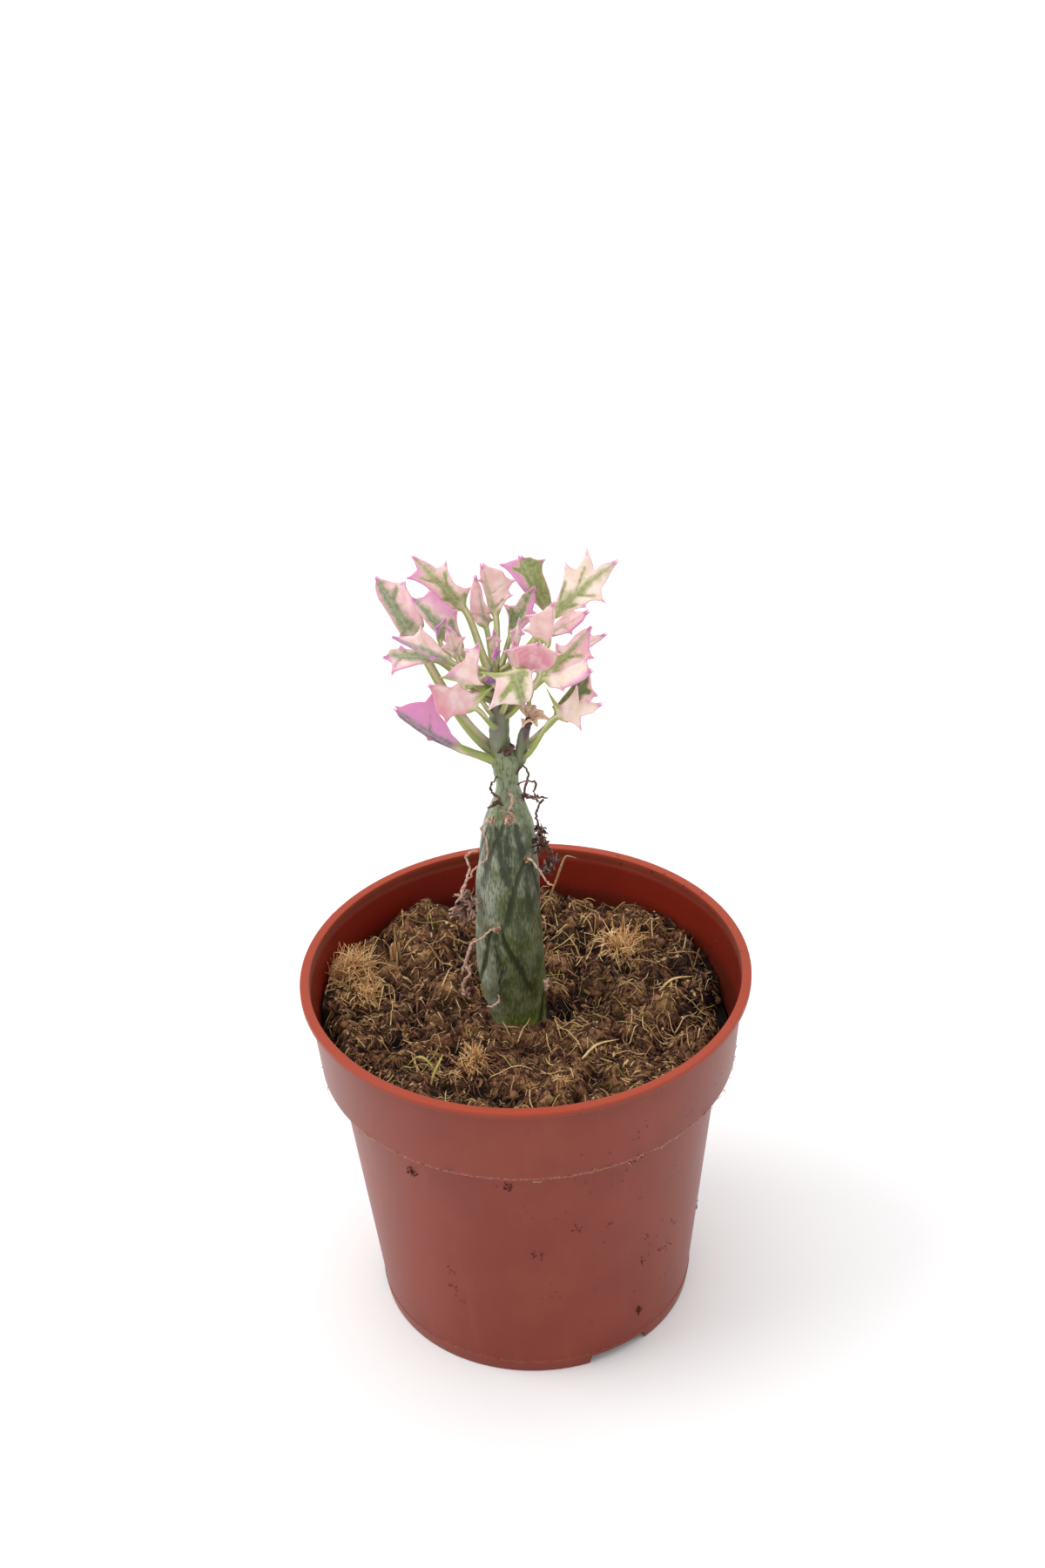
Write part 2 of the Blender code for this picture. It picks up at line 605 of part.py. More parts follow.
def soil_height(x, y):
    """Height of the soil's top: a slight slope with low hummocks and a dip beside the stem."""
    slope = SOIL_SLOPE[0] * x + SOIL_SLOPE[1] * y
    wide = WIDE_HUMMOCK_HEIGHT * math.sin(0.20 * x + 1.0) * math.cos(0.17 * y - 0.6)
    narrow = NARROW_HUMMOCK_HEIGHT * math.sin(0.36 * x - 0.31 * y)
    distance = math.hypot(x - DIP_PLACE[0], y - DIP_PLACE[1])
    dip = DIP_DEPTH * math.exp(-((distance / DIP_SPREAD) ** 2))
    return SOIL_LEVEL + slope + wide + narrow - dip


def build_soil(parts, cutters):
    inner_step = STEP_HEIGHT + WALL
    low = FLOOR_TOP + CLEARANCE
    rim = collar_radius(SOIL_LEVEL) - WALL - CLEARANCE
    profile = [(0.0, SOIL_LEVEL)]
    profile += [(radius, SOIL_LEVEL) for radius in SOIL_RINGS]
    profile += [
        (rim, SOIL_LEVEL),
        (collar_radius(inner_step) - WALL - CLEARANCE, inner_step + CLEARANCE + 2 * ROUNDING),
        (collar_radius(inner_step) - WALL - CLEARANCE - 2 * ROUNDING, inner_step + CLEARANCE),
        (body_radius(inner_step) - WALL - CLEARANCE + ROUNDING, inner_step + CLEARANCE),
        (body_radius(inner_step - 2 * ROUNDING) - WALL - CLEARANCE, inner_step - 2 * ROUNDING),
        (body_radius(low) - WALL - CLEARANCE, low + 3 * ROUNDING),
        (body_radius(low) - WALL - CLEARANCE - 3 * ROUNDING, low),
        (0.0, low),
    ]
    soil = bake(turned("soil", profile, TURN_STEPS, parts))
    for point in soil.data.vertices:
        if point.co.z > (SOIL_LEVEL - CLEARANCE) * MM:
            point.co.z = soil_height(point.co.x / MM, point.co.y / MM) * MM
    hole = joint_body("stem_hole", CLEARANCE, BARE_FROM + FADE_LENGTH, False, cutters)
    cut(soil, hole)
    return finish(soil, "peat")


def joint_section(height):
    """Sideways place and radius of the swollen joint at a height."""
    heights = [section[0] for section in JOINT_SECTIONS]
    middle = float(np.interp(height, heights, [section[1] for section in JOINT_SECTIONS]))
    radius = float(np.interp(height, heights, [section[2] for section in JOINT_SECTIONS]))
    return middle, radius


def scar_point(scar, lift):
    """A point above a leaf scar, lift away from the joint's surface."""
    azimuth, height = SCARS[scar]
    middle, radius = joint_section(height)
    angle = math.radians(azimuth)
    reach = radius + lift
    return np.array([middle + reach * math.cos(angle), reach * math.sin(angle), height])


def joint_relief(angle, height):
    """What grooves and leaf scars add to the joint's radius."""
    fade = min(1.0, max(0.0, (height - BARE_FROM) / FADE_LENGTH), max(0.0, (BARE_TO - height) / FADE_LENGTH))
    relief = GROOVE_DEPTH * math.sin(GROOVES_ROUND * angle + 0.05 * height) * fade
    _, radius = joint_section(height)
    for azimuth, scar_height in SCARS.values():
        turn = (angle - math.radians(azimuth) + math.pi) % math.tau - math.pi
        distance = math.hypot(turn * radius, height - scar_height)
        relief += SCAR_HEIGHT * math.exp(-((distance / SCAR_SPREAD) ** 2))
    return relief


def joint_body(name, offset, top, has_relief, collection):
    """The swollen joint up to a height, as a turned body whose middle wanders sideways."""
    count = round((top - JOINT_END) / JOINT_RING_SPACING)
    heights = np.linspace(top, JOINT_SECTIONS[0][0], count)
    profile = [(0.0, top + CLEARANCE)]
    profile += [(joint_section(height)[1] + offset, float(height)) for height in heights]
    profile += [(0.0, JOINT_END - offset)]
    body = bake(turned(name, profile, JOINT_STEPS, collection))
    for point in body.data.vertices:
        height = point.co.z / MM
        middle, _ = joint_section(height)
        reach = math.hypot(point.co.x, point.co.y)
        if has_relief and reach > CLEARANCE * MM:
            grown = 1.0 + joint_relief(math.atan2(point.co.y, point.co.x), height) * MM / reach
            point.co.x *= grown
            point.co.y *= grown
        point.co.x += middle * MM
    return body


def tube(name, route, radius, sides_level, collection):
    """A tube along (x, y, z, thickness) points, as a closed mesh."""
    curve = bpy.data.curves.new(name, "CURVE")
    curve.dimensions = "3D"
    curve.bevel_depth = radius * MM
    curve.bevel_resolution = sides_level
    curve.use_fill_caps = True
    spline = curve.splines.new("POLY")
    spline.points.add(len(route) - 1)
    for point, (x, y, z, thickness) in zip(spline.points, route):
        point.co = (x * MM, y * MM, z * MM, 1.0)
        point.radius = thickness
    item = bpy.data.objects.new(name, curve)
    collection.objects.link(item)
    return bake(item)


def join(item, collection):
    """Unite the object with all objects of a collection, which are then removed."""
    boolean = item.modifiers.new("join", "BOOLEAN")
    boolean.operation = "UNION"
    boolean.solver = "EXACT"
    boolean.operand_type = "COLLECTION"
    boolean.collection = collection
    joined = bake(item)
    for operand in list(collection.objects):
        bpy.data.objects.remove(operand, do_unlink=True)
    bpy.data.collections.remove(collection)
    return joined


def build_stem(parts):
    joint = joint_body("stem", 0.0, JOINT_SECTIONS[-1][0], True, parts)
    shoots = new_collection("shoots")
    tube("main_shoot", MAIN_SHOOT, 1.0, 2, shoots)
    tube("side_shoot", SIDE_SHOOT, 1.0, 2, shoots)
    return finish(join(joint, shoots), "stem")


def unit(vector):
    return vector / np.linalg.norm(vector)


def facing(azimuth, rise):
    turn = math.radians(azimuth)
    lift = math.radians(rise)
    return np.array([math.cos(turn) * math.cos(lift), math.sin(turn) * math.cos(lift), math.sin(lift)])


def crown_point(azimuth, reach, height):
    angle = math.radians(azimuth)
    return np.array([CROWN_AXIS_X + reach * math.cos(angle), reach * math.sin(angle), height])


def blade_surface(leaf):
    """Return a function from (along, out) to a point, the local direction forward and the local normal."""
    base = crown_point(*leaf.base)
    chord = crown_point(*leaf.tip) - base
    length = np.linalg.norm(chord)
    forward = unit(chord)
    up = facing(*leaf.faces)
    up = unit(up - forward * np.dot(up, forward))
    right = np.cross(forward, up)
    arc_radius = length / (2 * math.sin(leaf.bow / 2))

    def point(along, out):
        turn = leaf.bow * (along - 0.5)
        ahead = arc_radius * (math.sin(turn) + math.sin(leaf.bow / 2))
        above = arc_radius * (math.cos(leaf.bow / 2) - math.cos(turn))
        heading = math.cos(turn) * forward + math.sin(turn) * up
        normal = math.cos(turn) * up - math.sin(turn) * forward
        sideways = length * math.sin(out * leaf.cup) / leaf.cup
        lift = length * (1.0 - math.cos(out * leaf.cup)) / leaf.cup
        return base + ahead * forward + above * up + sideways * right + lift * normal, heading, normal

    return point, length


def shoot_section(shoot, height):
    heights = [section[2] for section in shoot]
    return [float(np.interp(height, heights, [section[axis] for section in shoot])) for axis in (0, 1, 3)]


def stalk_centres(leaf, base, heading):
    """Middle points and headings of the stalk, from the shoot's surface to the blade."""
    x, y, radius = shoot_section(leaf.shoot, leaf.root)
    away = unit(np.array([base[0] - x, base[1] - y, 0.0]))
    root = np.array([x, y, leaf.root]) + away * (radius + ROOT_GAP + leaf.stalk * STALK_DEPTH / 3)
    distance = np.linalg.norm(base - root)
    start = unit(away + STALK_RISE * np.array([0.0, 0.0, 1.0])) * distance * STALK_PULL
    end = heading * distance * STALK_END_PULL
    for share in np.linspace(0.0, 1.0, STALK_ROWS, endpoint=False):
        square = share * share
        cube = square * share
        centre = ((2 * cube - 3 * square + 1) * root + (cube - 2 * square + share) * start
                  + (3 * square - 2 * cube) * base + (cube - square) * end)
        slope = ((6 * square - 6 * share) * root + (3 * square - 4 * share + 1) * start
                 + (6 * share - 6 * square) * base + (3 * square - 2 * share) * end)
        yield share, centre, unit(slope)


def leaf_rows(leaf):
    """Rows of points across the leaf's middle surface, from its root to its tip, each with a thickness."""
    surface, length = blade_surface(leaf)
    places = np.linspace(-1.0, 1.0, COLUMNS + 1)
    base, heading, blade_normal = surface(0.0, 0.0)
    rows = []
    for share, centre, ahead in stalk_centres(leaf, base, heading):
        normal = (1.0 - share) * np.array([0.0, 0.0, 1.0]) + share * blade_normal
        normal = unit(normal - ahead * np.dot(normal, ahead))
        right = np.cross(ahead, normal)
        rows.append([(centre + place * leaf.stalk * right,
                      leaf.stalk * STALK_DEPTH * (1.0 - STALK_ROUNDING * place * place)) for place in places])
    narrow = leaf.stalk / length
    stations = [(0.0, 0.0, narrow, 0.0, narrow)]
    stations += [(m, la, lo * leaf.width, ra, ro * leaf.width) for m, la, lo, ra, ro in leaf.outline]
    stations += [(RIB_END, 1.0, TIP_HALF_WIDTH / length, 1.0, TIP_HALF_WIDTH / length)]
    for middle, left_along, left_out, right_along, right_out in stations:
        row = []
        rib = RIB_THICKNESS + (leaf.stalk * STALK_DEPTH - RIB_THICKNESS) * max(0.0, 1.0 - RIB_TAPER * middle)
        for place in places:
            edge_along, edge_out = (left_along, left_out) if place < 0 else (right_along, right_out)
            along = middle + abs(place) * (edge_along - middle)
            thickness = EDGE_THICKNESS + (rib - EDGE_THICKNESS) * (1.0 - abs(place)) ** 2
            row.append((surface(along, place * edge_out)[0], thickness))
        rows.append(row)
    return rows


def leaf_object(name, rows, collection):
    """A grid shaped into the leaf's middle surface and given its thickness on both sides."""
    row_count = len(rows) - 1
    mesh = bpy.data.meshes.new(name)
    mesh_tool = bmesh.new()
    bmesh.ops.create_grid(mesh_tool, x_segments=COLUMNS, y_segments=row_count, size=1.0)
    shares = {}
    for corner in mesh_tool.verts:
        column = round((corner.co.x + 1.0) / 2 * COLUMNS)
        row = round((corner.co.y + 1.0) / 2 * row_count)
        point, thickness = rows[row][column]
        corner.co = point * MM
        shares[corner.index] = thickness / FULL_THICKNESS
    mesh_tool.to_mesh(mesh)
    mesh_tool.free()
    leaf = add_mesh(name, mesh, collection)
    group = leaf.vertex_groups.new(name="thickness")
    for index, share in shares.items():
        group.add([index], share, "REPLACE")
    split = leaf.modifiers.new("split", "TRIANGULATE")
    split.quad_method = "SHORTEST_DIAGONAL"
    solid = leaf.modifiers.new("solid", "SOLIDIFY")
    solid.thickness = FULL_THICKNESS * MM
    solid.offset = 0.0
    solid.vertex_group = group.name
    return leaf


def build_leaves(parts):
    for leaf in LEAVES:
        finish(leaf_object(leaf.name, leaf_rows(leaf), parts), leaf.hue)


def petal_rows(azimuth, reach, lift):
    """Rows of points across one short leaf of the rosette, which arches over and curls up at its sides."""
    turn = math.radians(azimuth)
    outward = np.array([math.cos(turn), math.sin(turn), 0.0])
    sideways = np.array([-math.sin(turn), math.cos(turn), 0.0])
    upward = np.array([0.0, 0.0, 1.0])
    rows = []
    for share in np.linspace(0.0, 1.0, PETAL_ROWS):
        height = lift + PETAL_ARCH * math.sin(PETAL_ARCH_TURN * share)
        centre = np.array(PETALS_FROM) + outward * (PETAL_START + reach * share) + upward * height
        half_width = PETAL_TIP_WIDTH + PETAL_BULGE * math.sin(math.pi * min(0.95, share + 0.1))
        row = []
        for place in np.linspace(-1.0, 1.0, COLUMNS + 1):
            curl = PETAL_CURL * place * place * upward
            row.append((centre + place * half_width * sideways + curl, PETAL_THICKNESS))
        rows.append(row)
    return rows


def build_rosette(parts):
    """The dried rosette: short curled leaves joined on a stub."""
    stub = tube("withered_tuft", STUB, 1.0, 1, parts)
    petals = new_collection("petals")
    for index, azimuth in enumerate(PETAL_AZIMUTHS):
        rows = petal_rows(azimuth, PETAL_REACHES[index % len(PETAL_REACHES)], PETAL_SPACING * index)
        bake(leaf_object(f"petal_{index + 1}", rows, petals))
    return finish(join(stub, petals), "withered")


def build_dried_leaves(parts):
    for dried in DRIED_LEAVES:
        route = list(dried.route)
        if dried.scar is not None:
            start = scar_point(dried.scar, SCAR_HEIGHT + CLEARANCE)
            route.insert(0, (*start, 1.0))
        finish(tube(dried.name, route, THREAD_RADIUS, 1, parts), "withered")


def build():
    clear_scene()
    parts = new_collection("potted_candle_plant")
    cutters = new_collection("cutters")
    build_pot(parts, cutters)
    build_soil(parts, cutters)
    build_stem(parts)
    build_leaves(parts)
    build_rosette(parts)
    build_dried_leaves(parts)


build()
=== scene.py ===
"""Looks of the potted candle plant: fine leaves, stem, pot and soil, their materials, light and camera.

Lengths are in millimetres and are turned into metres by MM when a mesh is made. The frame is the one of the
CAD model: Z is up, and the origin is the middle of the pot's foot.
"""

import math
from collections import namedtuple

import bmesh
import bpy
import numpy as np
from mathutils import Matrix, Vector


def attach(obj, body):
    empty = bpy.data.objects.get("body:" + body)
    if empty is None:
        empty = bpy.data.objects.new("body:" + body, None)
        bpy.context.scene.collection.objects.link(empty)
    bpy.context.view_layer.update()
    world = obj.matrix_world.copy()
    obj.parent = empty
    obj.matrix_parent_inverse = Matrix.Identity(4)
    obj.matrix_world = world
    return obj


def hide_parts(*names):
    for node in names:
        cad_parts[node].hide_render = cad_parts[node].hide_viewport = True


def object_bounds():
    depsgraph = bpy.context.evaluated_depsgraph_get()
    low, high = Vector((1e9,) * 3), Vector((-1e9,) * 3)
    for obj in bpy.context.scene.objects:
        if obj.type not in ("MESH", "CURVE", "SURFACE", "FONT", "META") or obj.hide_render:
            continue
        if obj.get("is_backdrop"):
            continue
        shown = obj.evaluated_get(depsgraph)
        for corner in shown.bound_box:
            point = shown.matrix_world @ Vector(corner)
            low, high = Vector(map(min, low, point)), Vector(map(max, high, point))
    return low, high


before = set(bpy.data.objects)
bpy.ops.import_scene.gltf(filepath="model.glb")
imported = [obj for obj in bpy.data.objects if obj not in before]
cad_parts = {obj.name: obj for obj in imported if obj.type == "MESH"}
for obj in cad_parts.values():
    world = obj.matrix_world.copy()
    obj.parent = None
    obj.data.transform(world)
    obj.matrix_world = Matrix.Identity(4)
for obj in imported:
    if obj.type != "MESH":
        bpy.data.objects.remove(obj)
cad_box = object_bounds()

MM = 0.001
UP = np.array([0.0, 0.0, 1.0])

# The camera that took the photograph, and the light

CAMERA_PLACE = (1.2, -504.1, 478.5)
CAMERA_PITCH = 32.07
CAMERA_ROLL = -2.26
CAMERA_LENS = 54.0
CAMERA_SENSOR = 36.0
FLOOR_SIZE = 12000.0
KEY_FROM = (-0.70, -0.04, 0.71)
KEY_SPREAD = 40.0
KEY_POWER = 1.25
TOP_FROM = (0.06, 0.22, 0.97)
TOP_SPREAD = 75.0
TOP_POWER = 0.95
SKY_STRENGTH = 0.9

# The pot

POT_HEIGHT = 105.0
LIP_RADIUS = 60.0
LIP_INNER_RADIUS = 57.45
LIP_DEPTH = 1.7
COLLAR_TOP_RADIUS = 58.1
COLLAR_FOOT_RADIUS = 56.0
STEP_HEIGHT = 80.0
BODY_TOP_RADIUS = 51.9
BODY_FOOT_RADIUS = 43.35
WALL = 1.0
FLOOR_UNDERSIDE = 3.2
FLOOR_TOP = 4.2
FOOT_RING_WIDTH = 1.8
MOULD_LINE_HEIGHT = 4.0
NOTCH_AZIMUTHS = (-60.0, 60.0, 180.0)
NOTCH_WIDTH = 19.5
NOTCH_HEIGHT = 3.0
NOTCH_TOP_SHARE = 0.86
NOTCH_BLOCK_DEPTH = 8.0
NOTCH_BLOCK_UNDERSIDE = -2.0
DRAIN_HOLE_COUNT = 6
DRAIN_HOLE_RADIUS = 3.0
DRAIN_CIRCLE_RADIUS = 28.0
FIRST_DRAIN_AZIMUTH = 34.0
CORNER_RADIUS = 0.35
CORNER_STEPS = 4
POT_STEPS = 160

# The soil

SOIL_LEVEL = 90.5
SOIL_SLOPE = (-0.035, 0.022)
WIDE_HUMMOCK_HEIGHT = 1.1
NARROW_HUMMOCK_HEIGHT = 0.7
DIP_PLACE = (8.0, 3.0)
DIP_DEPTH = 2.4
DIP_SPREAD = 7.7
SOIL_GAP = 0.4
SOIL_GRID = 215
SOIL_CLUMPS = ((11.0, 1.9), (5.0, 1.9), (2.4, 1.4), (1.1, 0.7))
WALL_GAP_WIDTH = 7.0
WALL_GAP_DEPTH = 8.5
WALL_GAPS = ((-160.0, 18.0), (140.0, 11.0), (-2.0, 24.0), (-34.0, 10.0), (62.0, 14.0), (112.0, 12.0))
HOLLOW_PLACE = (9.5, 1.5)
HOLLOW_REACH = 4.2
HOLLOW_DEPTH = 5.0
BACK_RISE = 2.6
BACK_RISE_FROM = 6.0
BACK_RISE_LENGTH = 34.0
SKIRT_FROM = 0.965
SKIRT_DEPTH = 12.0
SKIRT_UNDERSIDE = 81.9
SKIRT_TAPER = 0.03
RAISED_RANGE = 6.0
CRUMB_REACH = 54.6
FIBRE_REACH = 54.0
STRAW_REACH = 53.0
ROUTE_REACH = 54.8
COIR_REACH = 55.0
STEM_X = -2.0
STEM_SOIL_RISE = 0.4
STEM_SOIL_REACH = 10.5
CLEARING_X = -2.5
CLEARING_REACH = 9.0
LEAST_WALL_GAP = 0.15
PLUG_RISE = 1.2
PLUG_STEPS = 96
SOIL_SEED = 7
CLOD_COUNT = 600
FIBRE_COUNT = 5200
FLAKE_COUNT = 3200
SPECK_COUNT = 28
STRAW_COUNT = 130
DUST_HAIRS = 75
POT_CLOTS = ((-127.9, 70.6, 30), (-97.6, 73.5, 16), (-59.7, 76.6, 34), (-89.6, 47.3, 9), (-77.2, 55.5, 9),
             (-51.5, 42.5, 6), (-40.4, 32.2, 5), (-52.6, 33.6, 7), (-119.7, 36.6, 6), (-119.1, 29.5, 6),
             (-52.5, 13.9, 22), (-45.5, 33.6, 5), (-66.3, 54.3, 4), (-116.7, 25.4, 4), (-10.7, 26.3, 8),
             (-39.2, 39.7, 6), (25.0, 60.0, 8), (70.0, 72.0, 16), (110.0, 50.0, 6), (150.0, 70.0, 10),
             (170.0, 40.0, 6))

# The swollen joint: height, sideways place of its middle, radius, from its buried end to its neck

JOINT_SECTIONS = (
    (62.6, -1.5, 3.2),
    (64.6, -1.5, 5.0),
    (68.0, -1.5, 6.2),
    (76.0, -1.6, 7.0),
    (90.0, -2.0, 7.5),
    (99.5, -3.0, 8.6),
    (108.0, -3.6, 8.9),
    (121.0, -3.7, 8.7),
    (134.5, -3.6, 8.2),
    (140.5, -3.3, 7.5),
    (150.0, -2.9, 6.6),
    (154.5, -2.8, 5.3),
    (160.0, -2.5, 3.5),
    (163.5, -2.6, 2.9),
    (167.5, -2.8, 3.3),
    (170.0, -2.9, 3.7),
    (173.0, -3.5, 2.9),
)
JOINT_RINGS = 280
JOINT_SIDES = 132
BARE_FROM = 93.0
BARE_TO = 164.0
FADE_LENGTH = 8.0
SCARS = {
    "left": (-139.0, 154.5),
    "front": (-92.0, 155.5),
    "right": (-49.0, 143.7),
    "middle": (-112.0, 124.0),
    "low": (-13.0, 101.0),
    "back": (95.0, 147.0),
    "back_low": (70.0, 116.0),
}
SCAR_HEIGHT = 0.7
SCAR_SPREAD = 1.25
SCAR_PIT = 0.6
TRACE_LENGTH = 30.0
TRACE_SPREAD = 0.27
TRACE_WIDTH = 1.15
TRACE_DEPTH = 0.45

# The two shoots above the neck: place and radius from foot to tip

MAIN_SHOOT = (
    (-2.9, 0.0, 166.0, 3.0),
    (-3.4, 0.0, 171.0, 3.2),
    (-4.1, 0.0, 176.0, 2.6),
    (-3.9, 0.0, 183.0, 2.5),
    (-4.1, 0.0, 190.0, 2.1),
    (-4.4, 0.0, 195.0, 1.5),
    (-4.4, 0.0, 197.5, 0.9),
)
SIDE_SHOOT = (
    (-1.5, 0.0, 166.2, 1.1),
    (0.6, 0.0, 169.8, 1.7),
    (1.5, -0.4, 174.0, 1.6),
    (2.0, -1.4, 178.0, 1.4),
    (2.9, -2.7, 181.2, 1.0),
)
CROWN_AXIS_X = -4.0

# Outlines of the blades. Each station gives a place on the midrib, then the outline's point on the left as
# (along, out) and the one on the right, all as shares of the blade's length. The tip is at (1, 0).

HOOD = (
    (0.20, 0.23, 0.11, 0.20, 0.05),
    (0.45, 0.55, 0.24, 0.42, 0.07),
    (0.62, 0.82, 0.47, 0.60, 0.07),
    (0.76, 0.81, 0.27, 0.76, 0.06),
    (0.90, 0.94, 0.15, 0.92, 0.05),
)
PADDLE = (
    (0.10, 0.10, 0.12, 0.06, 0.20),
    (0.30, 0.30, 0.12, 0.26, 0.26),
    (0.52, 0.50, 0.11, 0.48, 0.27),
    (0.74, 0.76, 0.11, 0.77, 0.28),
    (0.90, 0.92, 0.07, 0.88, 0.13),
)
NOTCHED = (
    (0.20, 0.20, 0.09, 0.20, 0.09),
    (0.42, 0.40, 0.15, 0.42, 0.14),
    (0.64, 0.68, 0.24, 0.70, 0.16),
    (0.80, 0.90, 0.32, 0.92, 0.14),
    (0.90, 0.88, 0.12, 0.96, 0.07),
)
CREST = (
    (0.18, 0.16, 0.06, 0.22, 0.10),
    (0.40, 0.36, 0.07, 0.48, 0.20),
    (0.56, 0.54, 0.07, 0.67, 0.26),
    (0.70, 0.68, 0.06, 0.75, 0.11),
    (0.86, 0.86, 0.05, 0.88, 0.06),
)
HALF = (
    (0.16, 0.14, 0.08, 0.18, 0.14),
    (0.36, 0.36, 0.10, 0.46, 0.28),
    (0.56, 0.56, 0.10, 0.70, 0.25),
    (0.72, 0.74, 0.08, 0.93, 0.25),
    (0.86, 0.88, 0.06, 0.93, 0.12),
)
LOBED = (
    (0.10, 0.10, 0.11, 0.15, 0.23),
    (0.28, 0.34, 0.15, 0.36, 0.14),
    (0.46, 0.60, 0.15, 0.65, 0.25),
    (0.62, 0.86, 0.24, 0.69, 0.11),
    (0.80, 0.86, 0.08, 0.84, 0.07),
)
SCALLOPED = (
    (0.12, 0.10, 0.09, 0.12, 0.14),
    (0.26, 0.24, 0.09, 0.30, 0.36),
    (0.42, 0.42, 0.08, 0.42, 0.34),
    (0.56, 0.58, 0.08, 0.57, 0.50),
    (0.70, 0.74, 0.10, 0.70, 0.35),
    (0.84, 0.86, 0.07, 0.81, 0.33),
)
WING = (
    (0.14, 0.10, 0.16, 0.12, 0.12),
    (0.34, 0.32, 0.26, 0.36, 0.12),
    (0.54, 0.54, 0.21, 0.52, 0.07),
    (0.74, 0.74, 0.15, 0.72, 0.07),
    (0.88, 0.89, 0.09, 0.88, 0.05),
)
FAN = (
    (0.14, 0.14, 0.09, 0.12, 0.12),
    (0.36, 0.34, 0.14, 0.34, 0.17),
    (0.60, 0.64, 0.21, 0.62, 0.19),
    (0.80, 1.05, 0.32, 0.81, 0.29),
    (0.92, 1.03, 0.14, 0.95, 0.14),
)
PALMATE = (
    (0.12, 0.16, 0.07, 0.12, 0.08),
    (0.28, 0.54, 0.32, 0.40, 0.15),
    (0.40, 0.60, 0.20, 0.50, 0.15),
    (0.54, 0.84, 0.29, 0.62, 0.25),
    (0.68, 0.75, 0.07, 0.69, 0.12),
    (0.85, 0.87, 0.07, 0.87, 0.06),
)
FLAG = (
    (0.10, 0.05, 0.30, 0.08, 0.06),
    (0.24, 0.27, 0.60, 0.24, 0.06),
    (0.40, 0.42, 0.45, 0.40, 0.06),
    (0.56, 0.65, 0.54, 0.56, 0.06),
    (0.78, 0.80, 0.20, 0.78, 0.05),
)
CUP = (
    (0.12, 0.14, 0.34, 0.14, 0.24),
    (0.34, 0.38, 0.60, 0.38, 0.42),
    (0.58, 1.02, 0.68, 0.74, 0.52),
    (0.80, 0.96, 0.28, 0.86, 0.24),
)
SPLAYED = (
    (0.14, 0.12, 0.36, 0.0, 0.90),
    (0.28, 0.20, 0.44, 0.20, 0.54),
    (0.45, 0.42, 0.38, 0.80, 0.92),
    (0.68, 0.66, 0.32, 0.82, 0.50),
    (0.88, 0.92, 0.18, 0.95, 0.20),
)
ARROW = (
    (0.05, 0.02, 0.44, 0.16, 0.33),
    (0.26, 0.24, 0.32, 0.32, 0.19),
    (0.52, 0.53, 0.13, 0.58, 0.12),
    (0.78, 0.81, 0.16, 0.80, 0.10),
)
SPREAD = (
    (0.08, 0.08, 0.12, -0.06, 0.40),
    (0.22, 0.24, 0.20, 0.22, 0.18),
    (0.38, 0.42, 0.38, 0.50, 0.27),
    (0.58, 0.66, 0.32, 0.60, 0.11),
    (0.80, 0.82, 0.12, 0.82, 0.08),
)
SIDED = (
    (0.14, 0.14, 0.09, 0.15, 0.15),
    (0.34, 0.45, 0.19, 0.42, 0.23),
    (0.50, 0.56, 0.09, 0.69, 0.31),
    (0.68, 0.72, 0.09, 0.80, 0.16),
    (0.86, 0.87, 0.07, 0.89, 0.08),
)
SCOOP = (
    (0.12, 0.10, 0.08, 0.12, 0.20),
    (0.32, 0.34, 0.09, 0.38, 0.27),
    (0.52, 0.57, 0.19, 0.60, 0.23),
    (0.76, 0.96, 0.24, 0.78, 0.17),
    (0.90, 0.97, 0.10, 0.93, 0.08),
)
STAR = (
    (0.05, -0.10, 0.56, 0.05, 0.11),
    (0.15, 0.10, 0.18, 0.16, 0.14),
    (0.32, 0.57, 0.45, 0.48, 0.38),
    (0.50, 0.51, 0.13, 0.51, 0.12),
    (0.76, 0.76, 0.14, 0.76, 0.12),
)
TRIDENT = (
    (0.18, 0.18, 0.12, 0.18, 0.13),
    (0.38, 0.50, 0.34, 0.62, 0.30),
    (0.56, 0.58, 0.15, 0.64, 0.15),
    (0.78, 0.82, 0.13, 0.83, 0.12),
)
SPEAR = (
    (0.22, 0.22, 0.10, 0.22, 0.10),
    (0.45, 0.52, 0.14, 0.46, 0.14),
    (0.64, 0.74, 0.19, 0.66, 0.11),
    (0.82, 0.84, 0.08, 0.84, 0.09),
)
BUD = (
    (0.28, 0.28, 0.17, 0.28, 0.17),
    (0.62, 0.64, 0.19, 0.64, 0.19),
)

# One row for each leaf. root is the height at which its stalk leaves the shoot. base and tip, the ends of
# its blade, are (azimuth in degrees, reach from the crown's axis, height). faces is the way its upper side
# looks, as (azimuth, rise) in degrees. width scales the outline, cup bends the blade's sides up, bow bends
# its tip up, and stalk is half the width of the stalk.

Leaf = namedtuple("Leaf", "name shoot root base tip faces outline width cup bow stalk hue")

